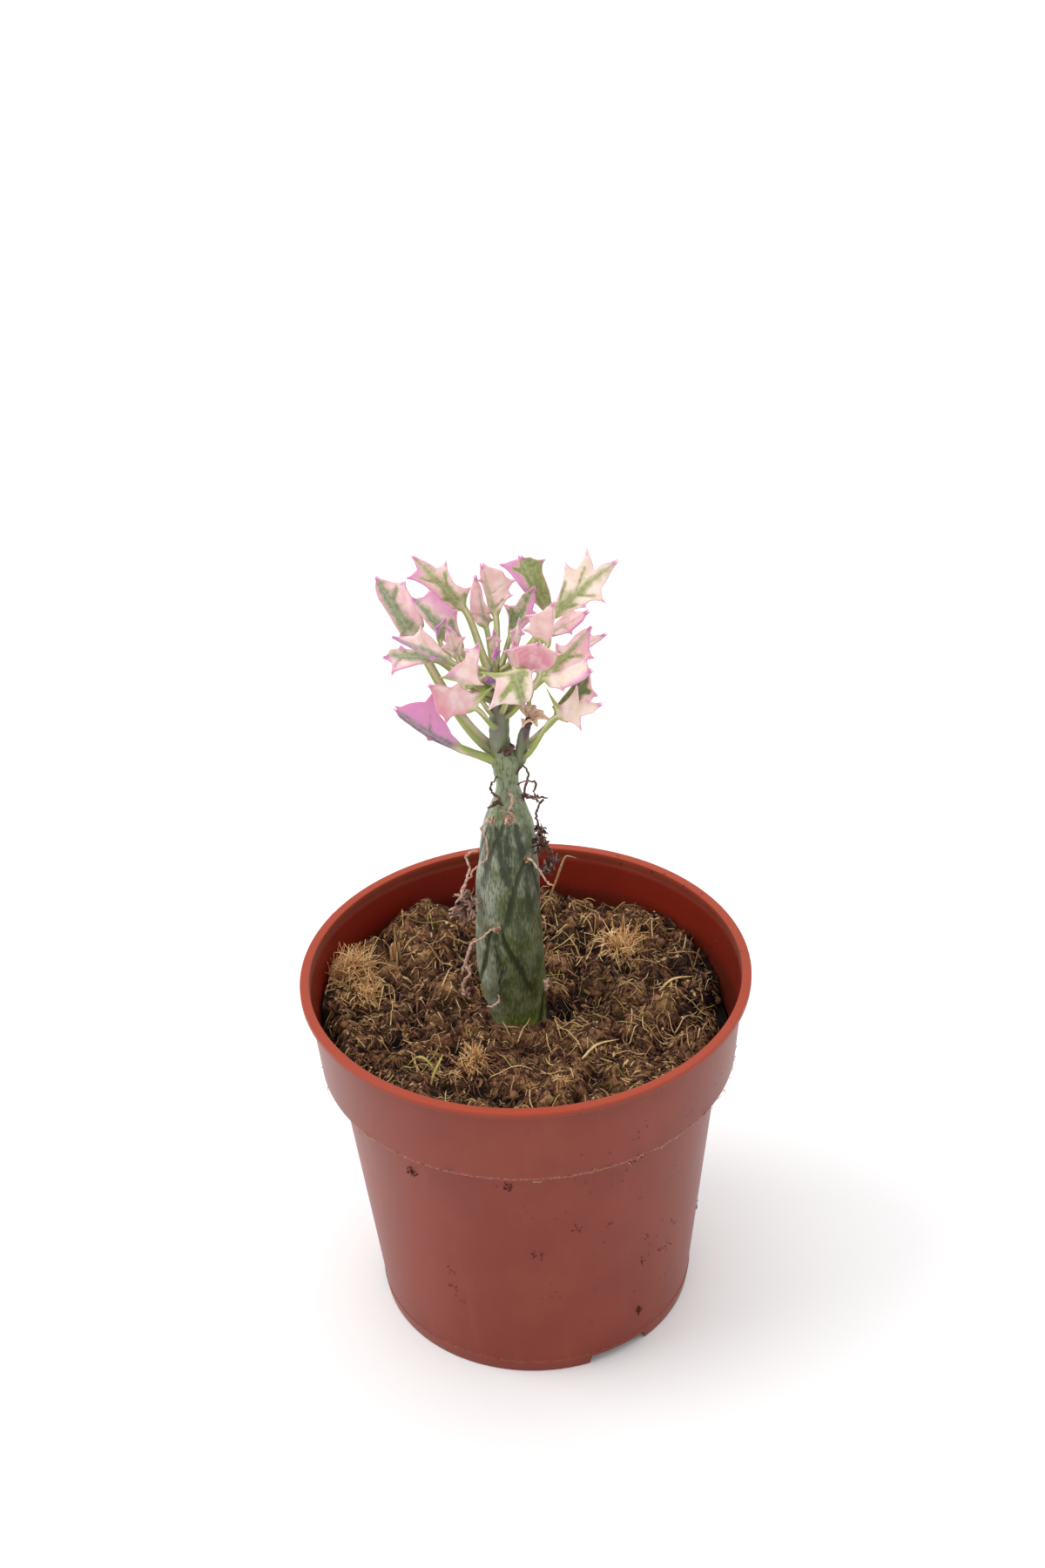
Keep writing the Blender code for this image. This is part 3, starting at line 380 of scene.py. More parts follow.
LEAVES = (
    Leaf("leaf_01", MAIN_SHOOT, 170.5, (-158, 11, 176.5), (-162, 26, 190.5), (90, 10), HOOD, 1.0, 1.2, 0.4,
         1.2, "magenta"),
    Leaf("leaf_02", MAIN_SHOOT, 172.5, (164, 21, 203), (161, 30, 217), (-95, 20), PADDLE, 1.05, 0.8, -0.3,
         1.2, "green"),
    Leaf("leaf_03", MAIN_SHOOT, 187.2, (-169, 15, 201), (-169, 27, 203.5), (-90, 50), NOTCHED, 1.0, 0.6, -0.8,
         0.7, "green"),
    Leaf("leaf_04", MAIN_SHOOT, 189.6, (-139, 14, 203.5), (-153, 26.5, 212.5), (-80, 50), CREST, 1.0, 0.8,
         -0.3, 0.8, "pink"),
    Leaf("leaf_05", MAIN_SHOOT, 190.0, (160, 9, 200), (163, 20.5, 213), (-70, 35), HALF, 1.0, 1.2, -0.3,
         0.9, "pink"),
    Leaf("leaf_06", MAIN_SHOOT, 192.5, (127, 12.5, 208), (144, 23.5, 220.5), (-90, 25), LOBED, 1.0, 0.6, -0.3,
         0.9, "green"),
    Leaf("leaf_07", MAIN_SHOOT, 193.8, (89, 12, 204.5), (99, 17, 216), (-90, 25), SCALLOPED, 1.0, 0.6, 0.3,
         0.8, "green"),
    Leaf("leaf_08", MAIN_SHOOT, 187.0, (100, 13, 201), (103, 19.5, 211.5), (-70, 15), WING, 1.0, 0.6, 0.3,
         0.7, "olive"),
    Leaf("leaf_09", MAIN_SHOOT, 192.6, (40, 17, 206), (62, 15, 219.5), (-90, 15), FAN, 1.0, -0.8, -0.4,
         0.8, "green"),
    Leaf("leaf_10", MAIN_SHOOT, 190.0, (9, 13.5, 209), (8, 30, 222), (-90, 35), PALMATE, 1.0, 0.4, -0.3,
         1.0, "green"),
    Leaf("leaf_11", MAIN_SHOOT, 187.6, (25, 14.5, 202), (20, 24, 206.5), (-90, 50), SPEAR, 1.4, 1.0, 0.3,
         0.7, "pink"),
    Leaf("leaf_12", MAIN_SHOOT, 194.0, (-29, 14.5, 206.5), (-19, 15, 216), (-100, 20), FLAG, 1.0, 0.8, 0.5,
         0.7, "cream"),
    Leaf("leaf_13", MAIN_SHOOT, 187.5, (-49, 16, 201.5), (-54, 17.5, 210.5), (-95, 20), CUP, 0.9, 0.8, 0.5,
         0.8, "pink"),
    Leaf("leaf_14", MAIN_SHOOT, 184.5, (-72, 14.5, 203.5), (-71, 19, 196.5), (-90, 30), SPLAYED, 1.0, 0.5,
         -1.4, 0.6, "green"),
    Leaf("leaf_15", MAIN_SHOOT, 191.2, (-51, 7.5, 199), (-57, 8.5, 207), (-90, 20), SPEAR, 1.3, 0.8, 0.3,
         0.7, "cream"),
    Leaf("leaf_16", MAIN_SHOOT, 194.8, (-120, 16, 200), (-106, 15.5, 211), (-90, 25), ARROW, 1.0, 0.8, 0.4,
         0.7, "magenta"),
    Leaf("leaf_17", MAIN_SHOOT, 180.5, (-121, 10.5, 190.5), (-141, 20.5, 199.5), (-90, 30), SPREAD, 1.0, 0.8,
         0.4, 0.7, "pink"),
    Leaf("leaf_18", MAIN_SHOOT, 183.6, (-142, 5.5, 189.5), (-150, 10, 193), (-110, 20), SPEAR, 1.5, 0.8, 0.3,
         0.6, "olive"),
    Leaf("leaf_19", MAIN_SHOOT, 185.4, (-9, 12.5, 195), (2, 23, 206), (-90, 35), SIDED, 1.0, 0.7, 0.4,
         0.7, "pink"),
    Leaf("leaf_20", MAIN_SHOOT, 182.4, (34, 20, 192), (24, 29.5, 198), (-90, 50), SPEAR, 0.8, 0.8, -0.3,
         0.7, "cream"),
    Leaf("leaf_21", MAIN_SHOOT, 183.0, (-32, 13.5, 197), (-23, 24.5, 200), (-80, 50), SCOOP, 1.0, 1.0, 0.4,
         0.7, "pink"),
    Leaf("leaf_22", SIDE_SHOOT, 173.5, (12, 14.5, 180), (10, 23, 191.5), (-90, 45), PADDLE, 1.0, -0.8, 0.4,
         0.8, "olive"),
    Leaf("leaf_23", SIDE_SHOOT, 170.8, (-32, 17, 187.5), (-26, 27.5, 192), (-90, 40), STAR, 1.0, 0.6, 0.3,
         0.6, "cream"),
    Leaf("leaf_24", SIDE_SHOOT, 177.0, (16, 8, 186), (19, 8.5, 190.5), (-90, 20), BUD, 1.2, 0.8, 0.3,
         0.6, "olive"),
    Leaf("leaf_25", MAIN_SHOOT, 194.8, (48, 5.5, 203), (40, 12.5, 213.5), (-95, 20), TRIDENT, 1.0, 1.2, 0.6,
         0.7, "olive"),
    Leaf("leaf_26", MAIN_SHOOT, 193.0, (2, 4.5, 202), (0, 6, 209), (-90, 30), BUD, 0.8, 1.5, -1.0,
         0.6, "cream"),
    Leaf("leaf_27", MAIN_SHOOT, 194.8, (-176, 13.5, 205), (-175, 12, 211), (-60, 20), BUD, 1.3, 1.6, 0.6,
         0.6, "olive"),
    Leaf("leaf_28", MAIN_SHOOT, 192.2, (-152, 10.5, 202), (-151, 12.5, 211), (-90, 25), TRIDENT, 1.0, 1.0,
         0.4, 0.6, "pink"),
    Leaf("young_leaf_01", MAIN_SHOOT, 196.0, (-94, 3.2, 200), (-88, 4.2, 204), (-40, 10), BUD, 1.2, 1.2, 0.5,
         0.5, "magenta"),
    Leaf("young_leaf_02", MAIN_SHOOT, 196.4, (100, 2.6, 199.5), (95, 2.6, 205), (-110, 10), BUD, 1.2, 1.2,
         0.5, 0.5, "cream"),
    Leaf("young_leaf_03", MAIN_SHOOT, 195.4, (-20, 3.6, 199), (-20, 4.4, 203), (-100, 10), BUD, 1.2, 1.2, 0.5,
         0.5, "olive"),
    Leaf("young_leaf_04", MAIN_SHOOT, 191.6, (-100, 5.5, 194.8), (-106, 7, 199), (-80, 10), BUD, 1.2, 1.2,
         0.5, 0.5, "magenta"),
)

BLADE_STEPS = 6
STALK_ROWS = 9
STALK_RISE = 0.6
STALK_PULL = 0.9
STALK_END_PULL = 0.54
STALK_DEPTH = 1.7
STALK_ROUNDING = 0.55
STALK_SUNK = 0.9
COLUMNS = 12
EDGE_THICKNESS = 0.6
RIB_THICKNESS = 1.0
RIB_TAPER = 1.6
RIB_END = 0.97
TIP_HALF_WIDTH = 0.2
FULL_THICKNESS = 2.4
RIB_CHANNEL = 0.16
MARGIN_WAVE = 0.35
HOLLOW_MARGIN = 0.14
BLADE_FULLNESS = 1.12
GREEN_FADE = 1.5
SPIKE = 1.3
SIDE_RIB_BACK = 0.14
SIDE_RIB_SHARE = 0.62
SIDE_RIB_OUT = 0.6
SIDE_RIB_REACH = 2.3

# How a leaf is coloured. pale is its blade, green the area along its ribs, which reaches spread from them.
# lean widens the green to the right. blush covers the blade where along * blush_along + across * blush_across
# + blush_all is above zero, with across running from -1 at the left margin to 1 at the right one.

Look = namedtuple("Look", "pale green spread lean blush blush_along blush_across blush_all")

CREAM = (224, 200, 184)
SHELL = (226, 190, 184)
PINK = (228, 184, 186)
ROSY = (212, 138, 152)
LILAC = (208, 136, 182)
ORCHID = (214, 140, 176)
MAGENTA = (196, 108, 172)
VIOLET = (150, 104, 168)
LEAF_GREEN = (156, 162, 104)
DEEP_GREEN = (128, 140, 90)
GREY_GREEN = (150, 156, 120)
OLIVE = (118, 122, 74)
TAUPE = (166, 148, 134)
PLUM_GREY = (150, 130, 140)
PURPLE_BROWN = (112, 78, 100)

LOOKS = {
    "leaf_01": Look(ORCHID, PLUM_GREY, 1.9, 1.9, LILAC, 0.1, -1.3, 0.5),
    "leaf_02": Look(PINK, GREY_GREEN, 2.1, 0.0, LILAC, 0.2, -0.4, -0.3),
    "leaf_03": Look(SHELL, GREY_GREEN, 1.7, 0.6, LILAC, 0.7, -0.3, -0.6),
    "leaf_04": Look(SHELL, GREY_GREEN, 0.8, -0.9, VIOLET, 0.2, -0.9, -0.1),
    "leaf_05": Look(SHELL, GREY_GREEN, 1.9, 0.3, LILAC, 0.5, 0.6, -0.5),
    "leaf_06": Look(SHELL, LEAF_GREEN, 1.5, 0.3, LILAC, 0.7, -0.6, -0.7),
    "leaf_07": Look(SHELL, LEAF_GREEN, 0.7, -0.3, LILAC, 0.9, -0.4, -0.9),
    "leaf_08": Look(PINK, GREY_GREEN, 0.35, 0.0, LILAC, -1.2, 0.3, 0.1),
    "leaf_09": Look(SHELL, LEAF_GREEN, 3.0, 2.4, LILAC, 0.4, -1.0, -0.35),
    "leaf_10": Look(CREAM, LEAF_GREEN, 1.3, 0.0, LILAC, 1.0, 0.0, -1.0),
    "leaf_11": Look(PINK, GREY_GREEN, 0.3, 0.0, MAGENTA, 0.8, 0.5, -0.7),
    "leaf_12": Look(SHELL, GREY_GREEN, 0.0, 0.0, PINK, -0.8, 0.4, 0.2),
    "leaf_13": Look(ROSY, PINK, 0.0, 0.0, SHELL, 0.9, 0.4, -0.6),
    "leaf_14": Look(CREAM, LEAF_GREEN, 1.9, 0.3, PINK, -0.6, 0.8, -0.1),
    "leaf_15": Look(SHELL, GREY_GREEN, 0.0, 0.0, LILAC, 1.0, 0.0, -0.9),
    "leaf_16": Look(SHELL, GREY_GREEN, 0.0, 0.0, MAGENTA, -1.9, -0.3, 0.3),
    "leaf_17": Look(PINK, GREY_GREEN, 0.0, 0.0, ROSY, 0.2, -0.7, -0.2),
    "leaf_18": Look(TAUPE, GREY_GREEN, 0.8, 0.0, PURPLE_BROWN, 0.3, 0.0, -0.2),
    "leaf_19": Look(PINK, LEAF_GREEN, 1.2, 0.5, LILAC, 0.9, 0.3, -0.7),
    "leaf_20": Look(CREAM, LEAF_GREEN, 0.4, 0.0, LILAC, 1.0, 0.0, -0.8),
    "leaf_21": Look(CREAM, LEAF_GREEN, 0.0, 0.0, LILAC, 1.1, 0.5, -0.8),
    "leaf_22": Look(SHELL, OLIVE, 3.4, -1.6, PINK, 0.2, 1.0, -0.7),
    "leaf_23": Look(CREAM, LEAF_GREEN, 0.0, 0.0, LILAC, -2.6, -0.2, 0.35),
    "leaf_24": Look(GREY_GREEN, LEAF_GREEN, 0.8, 0.0, PINK, 0.8, 0.0, -0.5),
    "leaf_25": Look(PINK, DEEP_GREEN, 1.5, -1.2, LILAC, 0.6, 0.7, -0.3),
    "leaf_26": Look(CREAM, GREY_GREEN, 0.0, 0.0, VIOLET, -1.2, 0.0, 0.2),
    "leaf_27": Look(SHELL, GREY_GREEN, 1.3, 0.0, VIOLET, 0.3, -0.8, -0.3),
    "leaf_28": Look(SHELL, GREY_GREEN, 0.4, 0.0, LILAC, -0.9, 0.0, 0.1),
    "young_leaf_01": Look(LILAC, GREY_GREEN, 0.0, 0.0, VIOLET, 0.4, 0.4, 0.1),
    "young_leaf_02": Look(CREAM, GREY_GREEN, 0.2, 0.0, LILAC, 0.8, 0.0, -0.6),
    "young_leaf_03": Look(TAUPE, DEEP_GREEN, 0.4, 0.0, VIOLET, 0.4, 0.0, 0.0),
    "young_leaf_04": Look(PURPLE_BROWN, GREY_GREEN, 0.0, 0.0, VIOLET, 0.4, 0.0, 0.0),
}
STALK_PALE = (206, 190, 164)
STALK_GREEN = (154, 166, 90)

# The withered rosette on the side shoot: its stub, then its short, curled leaves

STUB = (
    (3.1, -3.0, 181.8, 0.9),
    (3.3, -3.3, 182.8, 1.1),
    (3.5, -3.5, 183.8, 0.8),
)
PETALS_FROM = (3.4, -3.4, 182.8)
PETAL_AZIMUTHS = (-112.0, -66.0, -20.0, 26.0, 70.0, 114.0)
PETAL_REACHES = (3.0, 3.5, 4.0)
PETAL_SPACING = 0.17
PETAL_START = 0.3
PETAL_ARCH = 1.4
PETAL_ARCH_TURN = 2.6
PETAL_TIP_WIDTH = 0.2
PETAL_BULGE = 0.8
PETAL_CURL = 0.7
PETAL_THICKNESS = 0.4
PETAL_ROWS = 13
PETAL_FULLNESS = 1.3

# The dried leaves: the scar that each hangs from, its routes as (x, y, z, thickness), and its crumpled
# tufts as (x, y, z, reach)

DriedLeaf = namedtuple("DriedLeaf", "name scar tone routes tufts")

DRIED_LEAVES = (
    DriedLeaf("dried_leaf_left", "left", 0.75, (
        (
            (-9.2, -7.2, 155.2, 1.0),
            (-9.5, -7.2, 153.6, 1.1),
            (-8.6, -7.9, 151.4, 0.9),
            (-8.4, -8.2, 146.8, 1.2),
            (-10.0, -8.2, 144.6, 1.0),
            (-12.2, -7.2, 141.8, 1.1),
            (-13.3, -6.2, 138.6, 1.0),
        ),
        (
            (-10.9, -3.2, 145.0, 1.2),
            (-12.8, -3.2, 144.8, 1.0),
            (-13.9, -3.4, 143.1, 1.2),
            (-13.3, -4.0, 140.1, 1.0),
            (-14.5, -4.6, 136.2, 1.3),
            (-15.7, -5.0, 133.2, 1.4),
            (-14.8, -5.2, 131.0, 1.2),
        ),
    ), (
        (-14.6, -5.2, 132.0, 1.6),
        (-13.8, -5.2, 129.6, 1.7),
        (-15.6, -5.2, 128.0, 1.9),
        (-14.0, -5.2, 126.0, 1.2),
    )),
    DriedLeaf("dried_leaf_right", "right", 0.85, (
        (
            (2.7, -7.6, 144.6, 1.3),
            (4.1, -7.7, 142.0, 1.4),
            (5.5, -7.6, 139.6, 1.2),
            (6.7, -7.4, 137.2, 1.0),
            (8.2, -7.2, 136.0, 0.7),
        ),
    ), ()),
    DriedLeaf("dried_leaf_middle", "middle", 0.8, (
        (
            (-8.6, -9.7, 124.6, 1.0),
            (-10.9, -9.8, 122.4, 1.1),
            (-13.4, -9.5, 120.6, 1.3),
            (-14.9, -9.4, 116.5, 1.5),
            (-15.3, -9.3, 113.4, 1.2),
            (-14.7, -9.2, 110.8, 1.3),
            (-16.4, -9.0, 107.1, 1.0),
            (-16.2, -9.0, 103.9, 1.4),
            (-14.8, -9.0, 102.3, 0.8),
        ),
        (
            (-14.9, -9.4, 116.5, 0.9),
            (-16.0, -9.2, 113.0, 1.0),
            (-16.6, -9.0, 110.2, 0.7),
        ),
    ), (
        (-16.2, -9.0, 104.5, 0.8),
    )),
    DriedLeaf("dried_leaf_neck", "neck", 0.35, (
        (
            (-0.3, -2.5, 167.1, 1.0),
            (1.5, -2.5, 169.6, 0.9),
            (2.7, -2.5, 166.7, 0.9),
            (1.8, -2.5, 162.7, 1.0),
            (1.4, -2.6, 160.9, 1.4),
            (2.8, -2.6, 160.3, 1.6),
            (5.0, -2.6, 160.2, 1.3),
            (7.4, -2.5, 159.8, 0.6),
        ),
        (
            (0.0, -2.4, 164.0, 1.0),
            (1.8, -2.5, 164.9, 0.8),
            (3.7, -2.5, 164.8, 0.9),
            (4.6, -2.5, 164.0, 1.0),
            (3.9, -2.5, 161.4, 0.8),
        ),
        (
            (6.2, -2.6, 159.6, 1.0),
            (5.0, -2.6, 157.3, 0.9),
            (4.5, -2.6, 155.0, 0.9),
            (4.8, -2.6, 151.5, 1.0),
            (5.7, -2.6, 150.3, 1.1),
            (4.3, -2.6, 148.5, 1.1),
            (5.1, -2.7, 146.7, 1.2),
            (7.1, -2.8, 145.2, 1.0),
            (8.1, -2.8, 143.0, 1.1),
            (8.4, -2.8, 140.6, 1.1),
            (7.6, -2.9, 139.2, 1.2),
        ),
    ), (
        (1.6, -2.6, 160.6, 0.7),
        (4.6, -2.6, 160.0, 0.8),
        (5.6, -2.6, 150.4, 0.9),
        (5.6, -2.7, 145.4, 1.5),
        (5.2, -2.7, 147.4, 1.1),
        (8.4, -2.8, 140.0, 1.1),
        (6.6, -2.9, 139.4, 1.4),
    )),
)

# Scraps that have dried on the skin: tone, and route as (x, y, z, thickness)

SCRAPS = (
    (0.35, ((-4.9, -3.0, 167.0, 0.8), (-6.8, -3.6, 164.9, 0.9), (-6.4, -4.2, 162.9, 1.0),
            (-4.8, -4.6, 161.3, 1.1), (-6.0, -4.6, 159.9, 1.4), (-7.8, -4.8, 158.9, 0.9))),
    (0.25, ((-6.4, -4.9, 160.4, 1.5), (-5.0, -5.2, 160.6, 1.6), (-4.0, -5.4, 159.8, 1.0))),
    (0.8, ((-2.0, -3.9, 162.6, 1.3), (-1.5, -4.6, 161.0, 1.2), (-2.3, -5.6, 158.6, 0.9))),
    (0.6, ((-4.6, -6.2, 158.9, 0.8), (-2.5, -6.5, 158.4, 1.1), (-1.2, -6.9, 156.7, 1.0),
           (-2.1, -7.2, 155.3, 1.0), (-2.9, -7.1, 156.5, 0.9), (-2.0, -6.9, 157.2, 0.8))),
    (0.3, ((-4.6, -3.0, 174.0, 0.9), (-2.8, -3.3, 175.2, 1.4), (-1.3, -3.0, 176.2, 1.2),
           (-0.8, -2.9, 174.7, 1.2), (-2.8, -3.3, 173.7, 1.3), (-1.4, -3.1, 173.2, 1.0))),
    (0.9, ((4.6, -3.9, 103.4, 1.6), (5.3, -3.2, 101.6, 2.2), (5.0, -3.6, 99.6, 0.8))),
    (0.95, ((-10.4, -7.2, 97.9, 0.7), (-8.6, -8.0, 99.0, 1.0), (-7.2, -8.1, 100.4, 1.0),
            (-7.4, -8.0, 102.2, 0.6))),
)
THREAD_RADIUS = 0.34
THREAD_WANDER = 0.12
DRIED_SEED = 11

# What lies on the soil: golden coir tufts as (x, y, reach, hairs), straws and blades as routes of (x, y, z)

COIR_TUFTS = (
    (-47.5, 16.0, 11.0, 420),
    (-44.0, 8.0, 7.0, 110),
    (27.3, 26.2, 9.0, 260),
    (-14.2, -22.5, 6.5, 170),
    (9.0, -32.0, 4.0, 60),
)
STRAWS = (
    ((6.8, 44.5, 94.0), (9.5, 41.5, 104.0), (12.0, 38.5, 113.6), (13.6, 38.2, 114.4), (15.4, 38.0, 113.8)),
    ((-25.5, -31.0, 91.5), (-24.6, -30.0, 94.5), (-23.0, -27.5, 96.5), (-22.0, -25.0, 97.0)),
    ((-31.7, -22.5, 91.5), (-29.0, -23.5, 95.0), (-26.5, -26.0, 96.0), (-24.0, -28.5, 94.0)),
    ((36.0, 6.0, 91.0), (40.0, 8.5, 93.0), (46.0, 10.0, 92.5)),
    ((14.0, -22.0, 91.2), (18.0, -18.0, 92.4), (24.0, -15.0, 91.6)),
)
STUMP_PLACE = (-35.6, 18.9)
STUMP_SPLINTERS = 26
GOLDEN_STRAWS = (0, 3, 4)
GOLDEN_TONE = 0.86
GREEN_TONE = 0.93
LIP_HAIRS = (
    ((-52.5, 24.0, 96.0), (-53.4, 27.0, 101.0), (-52.6, 29.5, 105.5)),
    ((52.0, 21.0, 95.5), (54.8, 19.0, 99.5), (55.4, 17.0, 103.5)),
)


def paint(colour):
    """A colour as the eye sees it, 0 to 255, as linear light."""
    shares = [channel / 255.0 for channel in colour]
    return tuple(share / 12.92 if share <= 0.04045 else ((share + 0.055) / 1.055) ** 2.4 for share in shares)


def unit(vector):
    return vector / np.linalg.norm(vector)


def ease(share):
    """A smooth step from 0 to 1."""
    share = np.clip(share, 0.0, 1.0)
    return share * share * (3.0 - 2.0 * share)


def between(start, end, start_pull, end_pull, share):
    """A point on the smooth curve between two ends, each of which pulls it along."""
    square = share * share
    cube = square * share
    return ((2 * cube - 3 * square + 1) * start + (cube - 2 * square + share) * start_pull
            + (3 * square - 2 * cube) * end + (cube - square) * end_pull)


def smooth_route(points, steps):
    """A smooth curve through points, with steps stretches between neighbours."""
    points = np.array(points, dtype=float)
    before = np.vstack([2 * points[0] - points[1], points[:-1]])
    after = np.vstack([points[1:], 2 * points[-1] - points[-2]])
    slopes = (after - before) / 2
    route = []
    for index in range(len(points) - 1):
        for share in np.linspace(0.0, 1.0, steps, endpoint=False):
            route.append(between(points[index], points[index + 1], slopes[index], slopes[index + 1], share))
    route.append(points[-1])
    return np.array(route)


# Random numbers that grain reads, one square lattice for each size of clump

GRAIN_SEED = 3
LATTICE_SIZE = 256
LATTICE_SHAPE = (len(SOIL_CLUMPS), LATTICE_SIZE, LATTICE_SIZE)
LATTICES = np.random.default_rng(GRAIN_SEED).uniform(-1.0, 1.0, LATTICE_SHAPE)


def grain(x, y, cell, seed):
    """Smooth random heights from -1 to 1 over the plane, with features about a cell across."""
    lattice = LATTICES[seed]
    column = np.floor(x / cell).astype(int)
    row = np.floor(y / cell).astype(int)
    across = ease(x / cell - column)
    along = ease(y / cell - row)
    left = column % LATTICE_SIZE
    right = (column + 1) % LATTICE_SIZE
    near = row % LATTICE_SIZE
    far = (row + 1) % LATTICE_SIZE
    low = (1 - across) * lattice[near, left] + across * lattice[near, right]
    high = (1 - across) * lattice[far, left] + across * lattice[far, right]
    return (1 - along) * low + along * high


def add_mesh(name, mesh):
    """A new object that shows a mesh."""
    item = bpy.data.objects.new(name, mesh)
    bpy.context.scene.collection.objects.link(item)
    return item


def dress(item, look, slot, *nodes):
    """Give a piece its material and its place in the object, and hide the nodes that it stands for."""
    item.data.materials.clear()
    item.data.materials.append(look)
    item.data.shade_smooth()
    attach(item, "root")
    if nodes:
        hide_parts(*nodes)


def store(mesh, name, values):
    """Keep one number for each point of a mesh, for its material to read."""
    attribute = mesh.attributes.new(name, "FLOAT", "POINT")
    attribute.data.foreach_set("value", np.asarray(values, dtype=np.float32))


def tube_faces(rings, sides):
    """The faces of a closed tube: its first cap, its sides and its last cap."""
    faces = [tuple(range(sides))[::-1]]
    for ring in range(rings - 1):
        for side in range(sides):
            after = (side + 1) % sides
            faces.append((ring * sides + side, ring * sides + after,
                          (ring + 1) * sides + after, (ring + 1) * sides + side))
    return faces + [tuple(range((rings - 1) * sides, rings * sides))]


class Heap:
    """Many small shapes gathered into one mesh, each with a tone from 0 to 1."""

    def __init__(self):
        self.points = []
        self.faces = []
        self.tones = []
        self.count = 0

    def add(self, points, faces, tone):
        self.points.append(points)
        self.faces += [tuple(corner + self.count for corner in face) for face in faces]
        self.tones.append(np.full(len(points), tone))
        self.count += len(points)

    def strand(self, route, widths, flatness, tone, sides, facing=UP):
        """A tube along a route, flattened towards facing."""
        route = np.asarray(route, dtype=float)
        tangents = np.gradient(route, axis=0)
        normal = np.asarray(facing, dtype=float) + np.array([0.011, 0.017, 0.0])
        angles = np.arange(sides) * math.tau / sides + math.pi / 4
        rings = []
        for centre, tangent, width in zip(route, tangents, widths):
            tangent = unit(tangent)
            normal = unit(normal - tangent * np.dot(normal, tangent))
            side = np.cross(tangent, normal)
            spread = np.outer(np.cos(angles), side) + flatness * np.outer(np.sin(angles), normal)
            rings.append(centre + width * spread)
        self.add(np.vstack(rings), tube_faces(len(route), sides), tone)

    def item(self, name):
        mesh = bpy.data.meshes.new(name)
        mesh.from_pydata((np.vstack(self.points) * MM).tolist(), [], self.faces)
        store(mesh, "tone", np.concatenate(self.tones))
        return add_mesh(name, mesh)


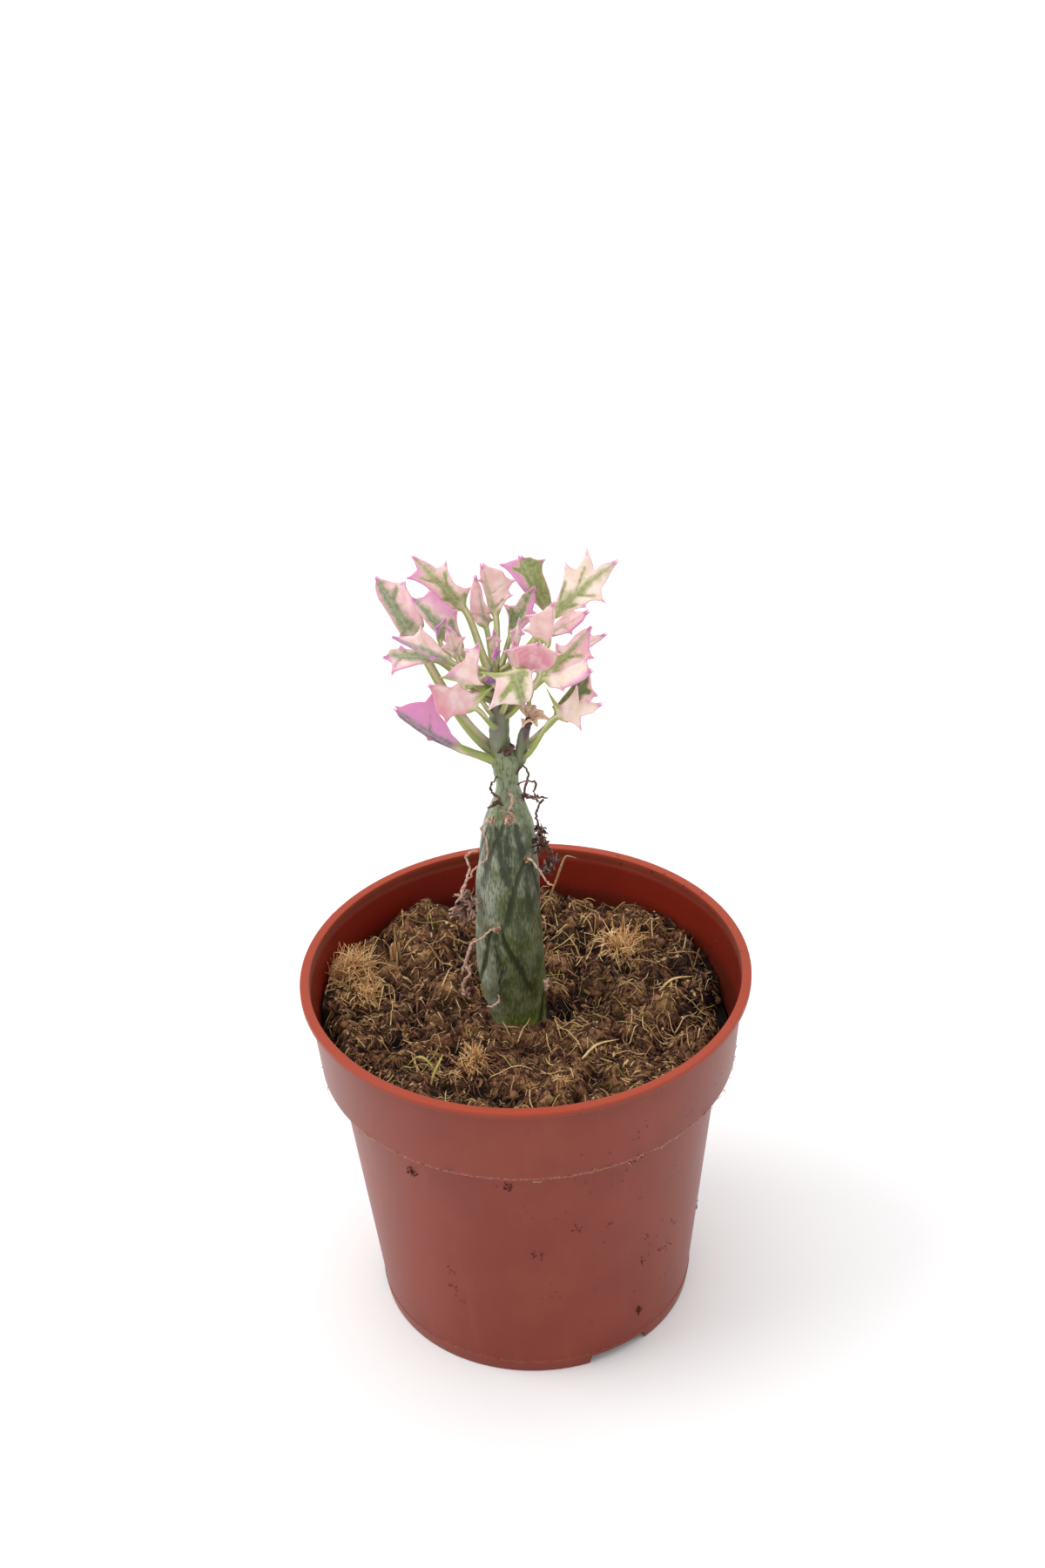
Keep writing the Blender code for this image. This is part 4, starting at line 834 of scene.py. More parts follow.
class Paints:
    """A material and the nodes that feed its shader."""

    def __init__(self, name):
        self.material = bpy.data.materials.new(name)
        self.material.use_nodes = True
        self.tree = self.material.node_tree
        self.shader = self.tree.nodes["Principled BSDF"]
        self.place = self.add("ShaderNodeTexCoord").outputs["Object"]

    def add(self, kind, **settings):
        node = self.tree.nodes.new(kind)
        for setting, value in settings.items():
            setattr(node, setting, value)
        return node

    def feed(self, socket, value):
        if isinstance(value, bpy.types.NodeSocket):
            self.tree.links.new(value, socket)
        elif isinstance(value, tuple) and socket.type == "RGBA":
            socket.default_value = (*paint(value), 1.0)
        else:
            socket.default_value = value

    def number(self, name):
        """The number that a mesh keeps at each point under a name."""
        return self.add("ShaderNodeAttribute", attribute_name=name).outputs["Fac"]

    def axes(self):
        """The x, y and z of the place on the surface, in metres."""
        node = self.add("ShaderNodeSeparateXYZ")
        self.feed(node.inputs[0], self.place)
        return node.outputs

    def maths(self, operation, first, second=0.0):
        node = self.add("ShaderNodeMath", operation=operation)
        self.feed(node.inputs[0], first)
        self.feed(node.inputs[1], second)
        return node.outputs[0]

    def times(self, first, second):
        return self.maths("MULTIPLY", first, second)

    def plus(self, first, second):
        return self.maths("ADD", first, second)

    def minus(self, first, second):
        return self.maths("SUBTRACT", first, second)

    def stretch(self, x, y, z):
        """The place on the surface, with each axis scaled."""
        node = self.add("ShaderNodeMapping")
        self.feed(node.inputs["Vector"], self.place)
        node.inputs["Scale"].default_value = (x, y, z)
        return node.outputs["Vector"]

    def cloud(self, size, detail=2.0, place=None):
        """Noise around 0.5 with features about size millimetres across."""
        node = self.add("ShaderNodeTexNoise")
        self.feed(node.inputs["Vector"], place or self.place)
        node.inputs["Scale"].default_value = 1.0 / (size * MM)
        node.inputs["Detail"].default_value = detail
        return node.outputs["Fac"]

    def cells(self, size):
        """Distance from the middle of irregular cells about size millimetres across."""
        node = self.add("ShaderNodeTexVoronoi")
        self.feed(node.inputs["Vector"], self.place)
        node.inputs["Scale"].default_value = 1.0 / (size * MM)
        return node.outputs["Distance"]

    def band(self, value, low, high):
        """0 at low and 1 at high, smoothly."""
        node = self.add("ShaderNodeMapRange", interpolation_type="SMOOTHSTEP")
        self.feed(node.inputs["Value"], value)
        node.inputs["From Min"].default_value = low
        node.inputs["From Max"].default_value = high
        return node.outputs["Result"]

    def mix(self, share, first, second, blend="MIX"):
        node = self.add("ShaderNodeMix", data_type="RGBA", blend_type=blend)
        self.feed(node.inputs[0], share)
        self.feed(node.inputs[6], first)
        self.feed(node.inputs[7], second)
        return node.outputs[2]

    def ramp(self, value, colours):
        """A colour picked from a list of (place, colour) by a value."""
        node = self.add("ShaderNodeValToRGB")
        self.feed(node.inputs["Fac"], value)
        stops = node.color_ramp.elements
        while len(stops) < len(colours):
            stops.new(1.0)
        for stop, (place, colour) in zip(stops, colours):
            stop.position = place
            stop.color = (*paint(colour), 1.0)
        return node.outputs["Color"]

    def bump(self, height, depth, under=None):
        """Relief of depth millimetres from a height of 0 to 1."""
        node = self.add("ShaderNodeBump")
        node.inputs["Distance"].default_value = depth * MM
        self.feed(node.inputs["Height"], height)
        if under is not None:
            self.feed(node.inputs["Normal"], under)
        return node.outputs["Normal"]

    def finish(self, colour, roughness, normal, specular):
        self.feed(self.shader.inputs["Base Color"], colour)
        self.feed(self.shader.inputs["Roughness"], roughness)
        self.feed(self.shader.inputs["Normal"], normal)
        self.shader.inputs["Specular IOR Level"].default_value = specular
        return self.material

    def glow_under(self, weight, red, green, blue):
        """Light that enters the flesh and spreads, by millimetres of red, green and blue."""
        self.shader.inputs["Subsurface Weight"].default_value = weight
        self.shader.inputs["Subsurface Radius"].default_value = (red, green, blue)
        self.shader.inputs["Subsurface Scale"].default_value = MM


# The pot


def body_radius(height):
    """Outer radius of the pot below its step."""
    return BODY_FOOT_RADIUS + (BODY_TOP_RADIUS - BODY_FOOT_RADIUS) * height / STEP_HEIGHT


def collar_radius(height):
    """Outer radius of the pot's collar above its step."""
    share = (height - STEP_HEIGHT) / (POT_HEIGHT - LIP_DEPTH - STEP_HEIGHT)
    return COLLAR_FOOT_RADIUS + (COLLAR_TOP_RADIUS - COLLAR_FOOT_RADIUS) * share


def rounded(profile, radius):
    """The profile with each inner corner cut back by radius and rounded."""
    points = [np.array(point, dtype=float) for point in profile]
    route = [points[0]]
    for before, corner, after in zip(points, points[1:], points[2:]):
        reach = min(radius, np.linalg.norm(before - corner) / 2.5, np.linalg.norm(after - corner) / 2.5)
        start = corner + unit(before - corner) * reach
        end = corner + unit(after - corner) * reach
        for share in np.linspace(0.0, 1.0, CORNER_STEPS):
            route.append((1 - share) ** 2 * start + 2 * share * (1 - share) * corner + share ** 2 * end)
    return route + [points[-1]]


def turned(name, profile, steps):
    """Spin a profile of (radius, height) points round Z."""
    mesh = bpy.data.meshes.new(name)
    points = [(radius * MM, 0.0, height * MM) for radius, height in profile]
    mesh.from_pydata(points, [(index, index + 1) for index in range(len(points) - 1)], [])
    item = add_mesh(name, mesh)
    screw = item.modifiers.new("turn", "SCREW")
    screw.steps = steps
    screw.render_steps = steps
    screw.use_merge_vertices = True
    screw.merge_threshold = 0.00001
    return item


def cut(item, cutter):
    """Cut the object at once and remove the cutter."""
    boolean = item.modifiers.new("cut", "BOOLEAN")
    boolean.operation = "DIFFERENCE"
    boolean.solver = "EXACT"
    boolean.object = cutter
    bpy.context.view_layer.update()
    depsgraph = bpy.context.evaluated_depsgraph_get()
    mesh = bpy.data.meshes.new_from_object(item.evaluated_get(depsgraph))
    item.modifiers.clear()
    item.data = mesh
    bpy.data.objects.remove(cutter, do_unlink=True)


def foot_cutters():
    """One object that holds the blocks for the foot's notches and the rods for the drain holes."""
    mesh_tool = bmesh.new()
    for azimuth in NOTCH_AZIMUTHS:
        block = bmesh.ops.create_cube(mesh_tool, size=1.0)["verts"]
        for corner in block:
            is_top = corner.co.z > 0
            corner.co.x *= NOTCH_BLOCK_DEPTH
            corner.co.y *= NOTCH_WIDTH * (NOTCH_TOP_SHARE if is_top else 1.0)
            corner.co.z = NOTCH_HEIGHT if is_top else NOTCH_BLOCK_UNDERSIDE
        place = Matrix.Rotation(math.radians(azimuth), 4, "Z")
        place @= Matrix.Translation((body_radius(0.0) - FOOT_RING_WIDTH / 2, 0.0, 0.0))
        bmesh.ops.transform(mesh_tool, matrix=place, verts=block)
    for index in range(DRAIN_HOLE_COUNT):
        place = Matrix.Rotation(math.radians(FIRST_DRAIN_AZIMUTH + 360.0 * index / DRAIN_HOLE_COUNT), 4, "Z")
        place @= Matrix.Translation((DRAIN_CIRCLE_RADIUS, 0.0, (FLOOR_TOP + FLOOR_UNDERSIDE) / 2))
        bmesh.ops.create_cone(mesh_tool, cap_ends=True, segments=40, radius1=DRAIN_HOLE_RADIUS,
                              radius2=DRAIN_HOLE_RADIUS, depth=4 * WALL, matrix=place)
    bmesh.ops.scale(mesh_tool, vec=(MM, MM, MM), verts=mesh_tool.verts)
    mesh = bpy.data.meshes.new("foot_cutters")
    mesh_tool.to_mesh(mesh)
    mesh_tool.free()
    return add_mesh("foot_cutters", mesh)


def plastic_look():
    """Moulded red-brown plastic: a faint cloudiness, a painted highlight on the lip, dust in the corners and
    specks of peat.
    """
    paints = Paints("red_brown_plastic")
    across, _, height = paints.axes()
    cloudy = paints.cloud(22.0, 3.0)
    colour = paints.mix(paints.band(cloudy, 0.35, 0.7), (119, 49, 34), (127, 55, 40))
    streaks = paints.cloud(5.0, 3.0, paints.stretch(1.0, 1.0, 0.12))
    colour = paints.mix(paints.times(paints.band(streaks, 0.5, 0.75), 0.2), colour, (140, 68, 52))
    # Painted highlight: the lip is painted brighter and more orange than the body, as if lit from above.
    lip_highlight = paints.band(height, (POT_HEIGHT - LIP_DEPTH) * MM, POT_HEIGHT * MM)
    colour = paints.mix(lip_highlight, colour, (154, 60, 38))
    grime = paints.cloud(0.7, 5.0)
    for level, reach, strength in ((STEP_HEIGHT, 1.3, 0.45), (MOULD_LINE_HEIGHT, 1.0, 0.12)):
        distance = paints.maths("ABSOLUTE", paints.minus(height, level * MM))
        near = paints.band(distance, reach * MM, 0.0)
        share = paints.times(paints.times(near, paints.band(grime, 0.42, 0.62)), strength)
        colour = paints.mix(share, colour, (190, 142, 128))
    dots = paints.band(paints.cells(2.3), 0.26, 0.1)
    few = paints.band(paints.cloud(9.0, 2.0), 0.53, 0.6)
    rightward = paints.band(across, -30.0 * MM, 40.0 * MM)
    specks = paints.times(paints.times(dots, few), rightward)
    colour = paints.mix(paints.times(specks, 0.85), colour, (58, 32, 24))
    hairs = paints.cloud(0.35, 5.0)
    roughness = paints.plus(paints.times(cloudy, 0.16), 0.38)
    relief = paints.bump(paints.cloud(0.5, 3.0), 0.012)
    relief = paints.bump(hairs, 0.004, relief)
    paints.shader.inputs["Sheen Weight"].default_value = 0.14
    paints.shader.inputs["Sheen Roughness"].default_value = 0.35
    return paints.finish(colour, roughness, relief, 0.2)


def inner_look():
    """The same plastic inside the pot, painted darker and redder as shade, darker still towards the soil,
    with splashes of peat.
    """
    paints = Paints("inner_plastic_shade_and_splashes")
    height = paints.axes()[2]
    # Painted shade: the inside of the pot is a darker, redder copy of the outside plastic.
    colour = paints.mix(paints.cloud(15.0, 3.0), (112, 24, 9), (128, 34, 17))
    # Darker towards the soil, with a ragged edge.
    soilward_darkening = paints.plus(paints.cloud(1.2, 5.0), paints.band(height, 100.0 * MM, 89.0 * MM))
    colour = paints.mix(paints.times(paints.band(soilward_darkening, 1.0, 1.5), 0.7), colour, (66, 28, 14))
    splashes = paints.times(paints.band(paints.cells(2.6), 0.16, 0.05),
                            paints.band(paints.cloud(6.0), 0.5, 0.6))
    colour = paints.mix(splashes, colour, (52, 28, 18))
    relief = paints.bump(paints.cloud(0.8, 3.0), 0.02)
    return paints.finish(colour, 0.42, relief, 0.35)


def build_pot():
    """The pot: its turned profile, with the notches and drain holes cut out of it."""
    lip_underside = POT_HEIGHT - LIP_DEPTH
    inner_step = STEP_HEIGHT + WALL
    line_radius = body_radius(MOULD_LINE_HEIGHT)
    profile = (
        (0.0, FLOOR_TOP),
        (body_radius(FLOOR_TOP) - WALL, FLOOR_TOP),
        (body_radius(inner_step) - WALL, inner_step),
        (collar_radius(inner_step) - WALL, inner_step),
        (collar_radius(lip_underside) - WALL, lip_underside - 2 * WALL),
        (LIP_INNER_RADIUS, lip_underside - WALL),
        (LIP_INNER_RADIUS, POT_HEIGHT),
        (LIP_RADIUS, POT_HEIGHT),
        (LIP_RADIUS, lip_underside),
        (collar_radius(lip_underside), lip_underside),
        (collar_radius(STEP_HEIGHT), STEP_HEIGHT),
        (body_radius(STEP_HEIGHT), STEP_HEIGHT - 0.3),
        (line_radius, MOULD_LINE_HEIGHT + 0.25),
        (line_radius + 0.22, MOULD_LINE_HEIGHT + 0.1),
        (body_radius(0.0) + 0.1, 0.2),
        (body_radius(0.0) - 0.1, 0.0),
        (body_radius(0.0) - FOOT_RING_WIDTH, 0.0),
        (body_radius(0.0) - FOOT_RING_WIDTH, FLOOR_UNDERSIDE),
        (0.0, FLOOR_UNDERSIDE),
    )
    pot = turned("nursery_pot", rounded(profile, CORNER_RADIUS), POT_STEPS)
    cut(pot, foot_cutters())
    dress(pot, plastic_look(), "pot_plastic", "pot")
    pot.data.materials.append(inner_look())
    for face in pot.data.polygons:
        middle = face.center / MM
        is_inside = math.hypot(middle.x, middle.y) < LIP_INNER_RADIUS - 0.1
        is_inward = face.normal.x * middle.x + face.normal.y * middle.y < 0
        if middle.z > FLOOR_TOP and is_inside and is_inward:
            face.material_index = 1
    pot.data.set_sharp_from_angle(angle=math.radians(50))


# The soil


def soil_height(x, y):
    """Height of the soil's top, with its slope, hummocks and the dip beside the stem."""
    slope = SOIL_SLOPE[0] * x + SOIL_SLOPE[1] * y
    wide = WIDE_HUMMOCK_HEIGHT * np.sin(0.20 * x + 1.0) * np.cos(0.17 * y - 0.6)
    narrow = NARROW_HUMMOCK_HEIGHT * np.sin(0.36 * x - 0.31 * y)
    distance = np.hypot(x - DIP_PLACE[0], y - DIP_PLACE[1])
    return SOIL_LEVEL + slope + wide + narrow - DIP_DEPTH * np.exp(-((distance / DIP_SPREAD) ** 2))


def back_rise(y):
    """How much higher the peat is piled towards the back."""
    return BACK_RISE * ease((y - BACK_RISE_FROM) / BACK_RISE_LENGTH)


def soil_surface(x, y):
    """Height of the crumbly surface: the soil's top with clumps, and a gap along parts of the wall."""
    height = soil_height(x, y) + back_rise(y)
    for seed, (cell, amount) in enumerate(SOIL_CLUMPS):
        turned_x = x * math.cos(seed + 0.5) - y * math.sin(seed + 0.5)
        turned_y = x * math.sin(seed + 0.5) + y * math.cos(seed + 0.5)
        height = height + amount * grain(turned_x + 300, turned_y + 300, cell, seed)
    wall = collar_radius(SOIL_LEVEL) - WALL
    near_wall = ease((np.hypot(x, y) - wall + WALL_GAP_WIDTH) / WALL_GAP_WIDTH)
    bearing = np.degrees(np.arctan2(y, x))
    openness = LEAST_WALL_GAP
    for azimuth, spread in WALL_GAPS:
        turn = (bearing - azimuth + 180.0) % 360.0 - 180.0
        openness = np.maximum(openness, np.exp(-((turn / spread) ** 2)))
    near_stem = np.exp(-((np.hypot(x - STEM_X, y) / STEM_SOIL_REACH) ** 4))
    height = height * (1 - near_stem) + (soil_height(x, y) + STEM_SOIL_RISE) * near_stem
    from_hollow = np.hypot(x - HOLLOW_PLACE[0], y - HOLLOW_PLACE[1]) / HOLLOW_REACH
    return height - WALL_GAP_DEPTH * near_wall * openness - HOLLOW_DEPTH * np.exp(-(from_hollow ** 2))


def peat_look():
    """Fibrous peat: painted shade makes it black in the hollows, and it is brown and mossy on the crumbs."""
    paints = Paints("peat")
    mottle = paints.cloud(2.2, 6.0)
    # Painted shade: the lower a place lies below the soil's smooth top, the darker it is painted, down to
    # black in the hollows and the gap along the wall.
    raised = paints.number("raised")
    tone = paints.plus(paints.times(raised, 0.6), paints.times(mottle, 0.6))
    colour = paints.ramp(tone, (
        (0.32, (14, 8, 6)),
        (0.52, (46, 27, 20)),
        (0.66, (112, 76, 51)),
        (0.86, (170, 128, 88)),
    ))
    moss = paints.band(paints.cloud(9.0, 3.0), 0.5, 0.66)
    colour = paints.mix(paints.times(moss, 0.3), colour, (98, 84, 42))
    relief = paints.bump(paints.cloud(0.9, 6.0), 0.9)
    relief = paints.bump(paints.cells(0.8), 0.25, relief)
    return paints.finish(colour, 0.92, relief, 0.2)


def fibre_look():
    """Peat fibres, chips and straws, whose tones run from black to straw, with a few green ones."""
    paints = Paints("peat_fibres")
    tone = paints.number("tone")
    mottle = paints.times(paints.minus(paints.cloud(1.5), 0.5), 0.25)
    shade = paints.plus(tone, mottle)
    colour = paints.ramp(shade, (
        (0.0, (34, 20, 17)),
        (0.25, (84, 52, 40)),
        (0.5, (132, 94, 64)),
        (0.68, (176, 136, 92)),
        (0.84, (214, 180, 130)),
        (0.95, (150, 144, 70)),
    ))
    relief = paints.bump(paints.cloud(0.3, 3.0), 0.06)
    return paints.finish(colour, 0.85, relief, 0.2)


def disc_points(count, random, reach):
    """Random places on the soil, clear of the stem."""
    points = []
    while len(points) < count:
        x, y = random.uniform(-reach, reach, 2)
        if math.hypot(x, y) < reach and math.hypot(x - CLEARING_X, y) > CLEARING_REACH:
            points.append((x, y))
    return points


def build_soil_top():
    """A square grid drawn out to a disc, whose rim folds down inside the wall."""
    mesh_tool = bmesh.new()
    bmesh.ops.create_grid(mesh_tool, x_segments=SOIL_GRID, y_segments=SOIL_GRID, size=1.0)
    mesh = bpy.data.meshes.new("peat_top")
    mesh_tool.to_mesh(mesh)
    mesh_tool.free()
    places = np.empty(len(mesh.vertices) * 3)
    mesh.vertices.foreach_get("co", places)
    places = places.reshape(-1, 3)
    x = places[:, 0] * np.sqrt(1.0 - places[:, 1] ** 2 / 2)
    y = places[:, 1] * np.sqrt(1.0 - places[:, 0] ** 2 / 2)
    share = np.hypot(x, y)
    rim = collar_radius(SOIL_LEVEL) - WALL - SOIL_GAP
    scale = rim * np.minimum(share / SKIRT_FROM, 1.0) / np.maximum(share, 1e-9)
    x = x * scale
    y = y * scale
    fold = np.maximum(share - SKIRT_FROM, 0.0) / (1.0 - SKIRT_FROM)
    x = x * (1.0 - SKIRT_TAPER * fold)
    y = y * (1.0 - SKIRT_TAPER * fold)
    height = np.maximum(soil_surface(x, y) - SKIRT_DEPTH * fold, SKIRT_UNDERSIDE)
    places = np.stack([x, y, height], axis=1)
    mesh.vertices.foreach_set("co", (places * MM).ravel())
    # The height above the smooth top, which the peat's material paints darker where low, as shade.
    lift = height - soil_height(x, y) - back_rise(y)
    store(mesh, "raised", np.clip(lift / RAISED_RANGE + 0.5, 0.0, 1.0))
    dress(add_mesh("peat_top", mesh), peat_look(), "peat", "soil")


def build_soil_plug():
    """The peat below the surface, which shows through the drain holes."""
    inner_step = STEP_HEIGHT + WALL
    low = FLOOR_TOP + SOIL_GAP
    profile = (
        (0.0, inner_step + PLUG_RISE),
        (collar_radius(inner_step) - WALL - SOIL_GAP, inner_step + PLUG_RISE),
        (collar_radius(inner_step) - WALL - SOIL_GAP, inner_step + SOIL_GAP),
        (body_radius(inner_step) - WALL - SOIL_GAP, inner_step + SOIL_GAP),
        (body_radius(low) - WALL - SOIL_GAP, low),
        (0.0, low),
    )
    plug = turned("peat_plug", rounded(profile, CORNER_RADIUS), PLUG_STEPS)
    dress(plug, peat_look(), "peat", "soil")


def plain_ball():
    """The corners and the faces of a ball of radius 1, for crumbs and grains."""
    mesh_tool = bmesh.new()
    bmesh.ops.create_icosphere(mesh_tool, subdivisions=1, radius=1.0)
    ball = np.array([corner.co[:] for corner in mesh_tool.verts])
    faces = [tuple(corner.index for corner in face.verts) for face in mesh_tool.faces]
    mesh_tool.free()
    return ball, faces


def build_clods(random):
    """Crumbs of peat: small lumps, half sunk in the surface."""
    ball, faces = plain_ball()
    heap = Heap()
    for x, y in disc_points(CLOD_COUNT, random, CRUMB_REACH):
        size = 0.4 + 1.0 * random.random() ** 3
        lump = ball * size * random.uniform(0.65, 1.35, (len(ball), 1)) * random.uniform(0.7, 1.2, 3)
        middle = np.array([x, y, float(soil_surface(x, y)) + 0.1 * size])
        heap.add(lump + middle, faces, random.uniform(0.1, 0.5))
    return heap.item("peat_crumbs")


def lying_route(x, y, length, random, lift):
    """A bent route over the surface, which follows its rises and sticks up a little."""
    heading = random.uniform(0.0, math.tau)
    bend = random.normal(0.0, 0.22)
    tilt = random.normal(0.1, 0.2)
    route = []
    for share in np.linspace(-0.5, 0.5, 6):
        turn = heading + bend * share
        place_x = x + length * share * math.cos(turn)
        place_y = y + length * share * math.sin(turn)
        reach = math.hypot(place_x, place_y)
        if reach > ROUTE_REACH:
            place_x = place_x * ROUTE_REACH / reach
            place_y = place_y * ROUTE_REACH / reach
        rise = lift + max(0.0, tilt * length * (share + 0.5))
        route.append((place_x, place_y, float(soil_surface(place_x, place_y)) + rise))
    return route


def build_fibres(random):
    """Short fibres that lie on the peat."""
    heap = Heap()
    for x, y in disc_points(FIBRE_COUNT, random, FIBRE_REACH):
        length = 1.6 + 5.0 * random.random() ** 2
        width = random.uniform(0.08, 0.26)
        route = lying_route(x, y, length, random, width + 0.15)
        tone = np.clip(random.normal(0.42, 0.26), 0.05, 0.86)
        widths = width * np.array([0.5, 1.0, 1.0, 0.9, 0.8, 0.3])
        heap.strand(route, widths, random.uniform(0.3, 1.0), tone, 3)
    return heap.item("peat_fibres")


def build_flakes(random):
    """Flat chips of peat and bark."""
    heap = Heap()
    for x, y in disc_points(FLAKE_COUNT, random, FIBRE_REACH):
        length = random.uniform(0.9, 3.2)
        route = lying_route(x, y, length, random, 0.3)[::2]
        width = random.uniform(0.25, 0.75)
        tone = np.clip(random.normal(0.32, 0.24), 0.0, 0.8)
        tip = (random.normal(0, 0.5), random.normal(0, 0.5), 1.0)
        heap.strand(route, width * np.array([0.6, 1.0, 0.5]), 0.22, tone, 4, tip)
    return heap.item("peat_flakes")


def build_straws(random):
    """Long straws and green blades, a broken stump and the hairs that stand at the rim."""
    heap = Heap()
    for index, route in enumerate(STRAWS):
        smooth = smooth_route(route, 5)
        widths = 0.5 * np.sin(np.linspace(0.7, 3.0, len(smooth)))
        heap.strand(smooth, widths, 0.35, GOLDEN_TONE if index in GOLDEN_STRAWS else GREEN_TONE, 5)
    for route in LIP_HAIRS:
        smooth = smooth_route(route, 5)
        heap.strand(smooth, np.linspace(0.16, 0.05, len(smooth)), 1.0, 0.5, 3)
    x, y = STUMP_PLACE
    foot = float(soil_surface(x, y))
    for _ in range(STUMP_SPLINTERS):
        lean = random.normal(0.0, 0.5, 2)
        start = np.array([x + random.normal(0, 0.7), y + random.normal(0, 0.4), foot - 1.0])
        end = start + np.array([0.5 * lean[0], 0.4 * lean[1], 6.5 + random.normal(0, 0.7)])
        splinter = np.linspace(start, end, 4)
        heap.strand(splinter, [0.35, 0.4, 0.4, 0.2], 0.6, random.uniform(0.55, 0.8), 4, (0.1, -1, 0))
    for x, y in disc_points(STRAW_COUNT, random, STRAW_REACH):
        route = lying_route(x, y, random.uniform(5.0, 12.0), random, 0.7)
        tone = random.uniform(0.74, 0.97)
        heap.strand(smooth_route(route, 2), np.linspace(0.24, 0.1, 11), 0.5, tone, 4)
    return heap.item("straws")


def build_coir(random):
    """Tufts of golden coconut hair."""
    heap = Heap()
    for x, y, reach, hairs in COIR_TUFTS:
        for _ in range(hairs):
            azimuth = random.uniform(0.0, math.tau)
            outward = np.array([math.cos(azimuth), math.sin(azimuth), 0.0])
            start = np.array([x, y, 0.0]) + outward * random.uniform(0.0, 0.5) * reach
            start[2] = float(soil_surface(start[0], start[1])) - 0.3
            length = reach * random.uniform(0.35, 0.85)
            turn = unit(random.normal(0.0, 1.0, 3))
            route = [start]
            heading = unit(outward * random.uniform(0.0, 1.0) + UP * random.uniform(0.4, 1.6))
            for _ in range(6):
                heading = unit(heading + 0.34 * turn - 0.16 * UP)
                step = route[-1] + heading * length / 6
                distance = math.hypot(step[0], step[1])
                if distance > COIR_REACH:
                    step[:2] *= COIR_REACH / distance
                step[2] = max(step[2], float(soil_surface(step[0], step[1])) + 0.2)
                route.append(step)
            heap.strand(route, np.linspace(0.2, 0.08, 7), 1.0, random.uniform(0.0, 1.0), 3)
    return heap.item("coir_tufts")


def coir_look():
    """Golden hair, from tan to straw by its tone."""
    paints = Paints("coir")
    colour = paints.ramp(paints.number("tone"), (
        (0.0, (164, 112, 64)),
        (0.5, (222, 172, 112)),
        (1.0, (246, 214, 162)),
    ))
    return paints.finish(colour, 0.55, paints.bump(paints.cloud(0.4), 0.02), 0.4)


def speck_look():
    """Dusty white grains."""
    paints = Paints("perlite")
    colour = paints.mix(paints.cloud(0.5), (168, 140, 120), (214, 196, 178))
    return paints.finish(colour, 0.9, paints.bump(paints.cloud(0.3), 0.08), 0.3)


def build_specks(random):
    """Pale grains of perlite."""
    ball, faces = plain_ball()
    heap = Heap()
    for x, y in disc_points(SPECK_COUNT, random, FIBRE_REACH):
        size = random.uniform(0.18, 0.5)
        lump = ball * size * random.uniform(0.7, 1.3, (len(ball), 1))
        heap.add(lump + np.array([x, y, float(soil_surface(x, y)) + 0.5]), faces, 1.0)
    return heap.item("perlite_grains")


def build_pot_dust(random):
    """Pale hairs caught along the pot's step and clots of peat that cling below it."""
    heap = Heap()
    for _ in range(DUST_HAIRS):
        azimuth = random.uniform(0.0, math.tau)
        turn = random.uniform(0.01, 0.05)
        low = STEP_HEIGHT + random.normal(0.2, 0.3)
        droop = random.normal(0.0, 1.0)
        route = []
        for share in np.linspace(0.0, 1.0, 6):
            angle = azimuth + turn * share
            height = low + droop * share * share + random.normal(0.0, 0.12)
            reach = collar_radius(STEP_HEIGHT) + 0.05 + 0.35 * share
            route.append((reach * math.cos(angle), reach * math.sin(angle), height))
        heap.strand(smooth_route(route, 2), np.linspace(0.1, 0.05, 11), 1.0,
                    random.uniform(0.45, 0.8), 3, (0, 0, 1))
    for azimuth, height, crumbs in POT_CLOTS:
        for _ in range(crumbs):
            angle = math.radians(azimuth) + random.normal(0.0, 0.016)
            level = height + random.normal(0.0, 0.8)
            reach = body_radius(level) + random.uniform(0.0, 0.01 * crumbs)
            start = np.array([reach * math.cos(angle), reach * math.sin(angle), level])
            end = start + random.normal(0.0, 0.3 + 0.008 * crumbs, 3)
            end[:2] *= max(1.0, (body_radius(end[2]) + 0.1) / math.hypot(end[0], end[1]))
            width = random.uniform(0.1, 0.14 + 0.006 * crumbs)
            heap.strand([start, (start + end) / 2, end], width * np.array([0.6, 1.0, 0.4]), 0.6,
                        random.uniform(0.0, 0.3), 4)
    return heap.item("pot_dust")


def build_soil():
    """All that fills the pot, and what has fallen on its outside."""
    random = np.random.default_rng(SOIL_SEED)
    build_soil_top()
    build_soil_plug()
    fibres = fibre_look()
    dress(build_clods(random), fibres, "peat")
    dress(build_fibres(random), fibres, "peat")
    dress(build_flakes(random), fibres, "peat")
    dress(build_straws(random), fibres, "peat")
    dress(build_coir(random), coir_look(), "peat")
    dress(build_specks(random), speck_look(), "peat")
    dress(build_pot_dust(random), fibres, "peat")


# The stem


def scar_distance(scar, angle, height, radius):
    """How far round and how far below a scar a place on the joint lies."""
    azimuth, scar_height = SCARS[scar]
    turn = (angle - math.radians(azimuth) + math.pi) % math.tau - math.pi
    return turn * radius, scar_height - height


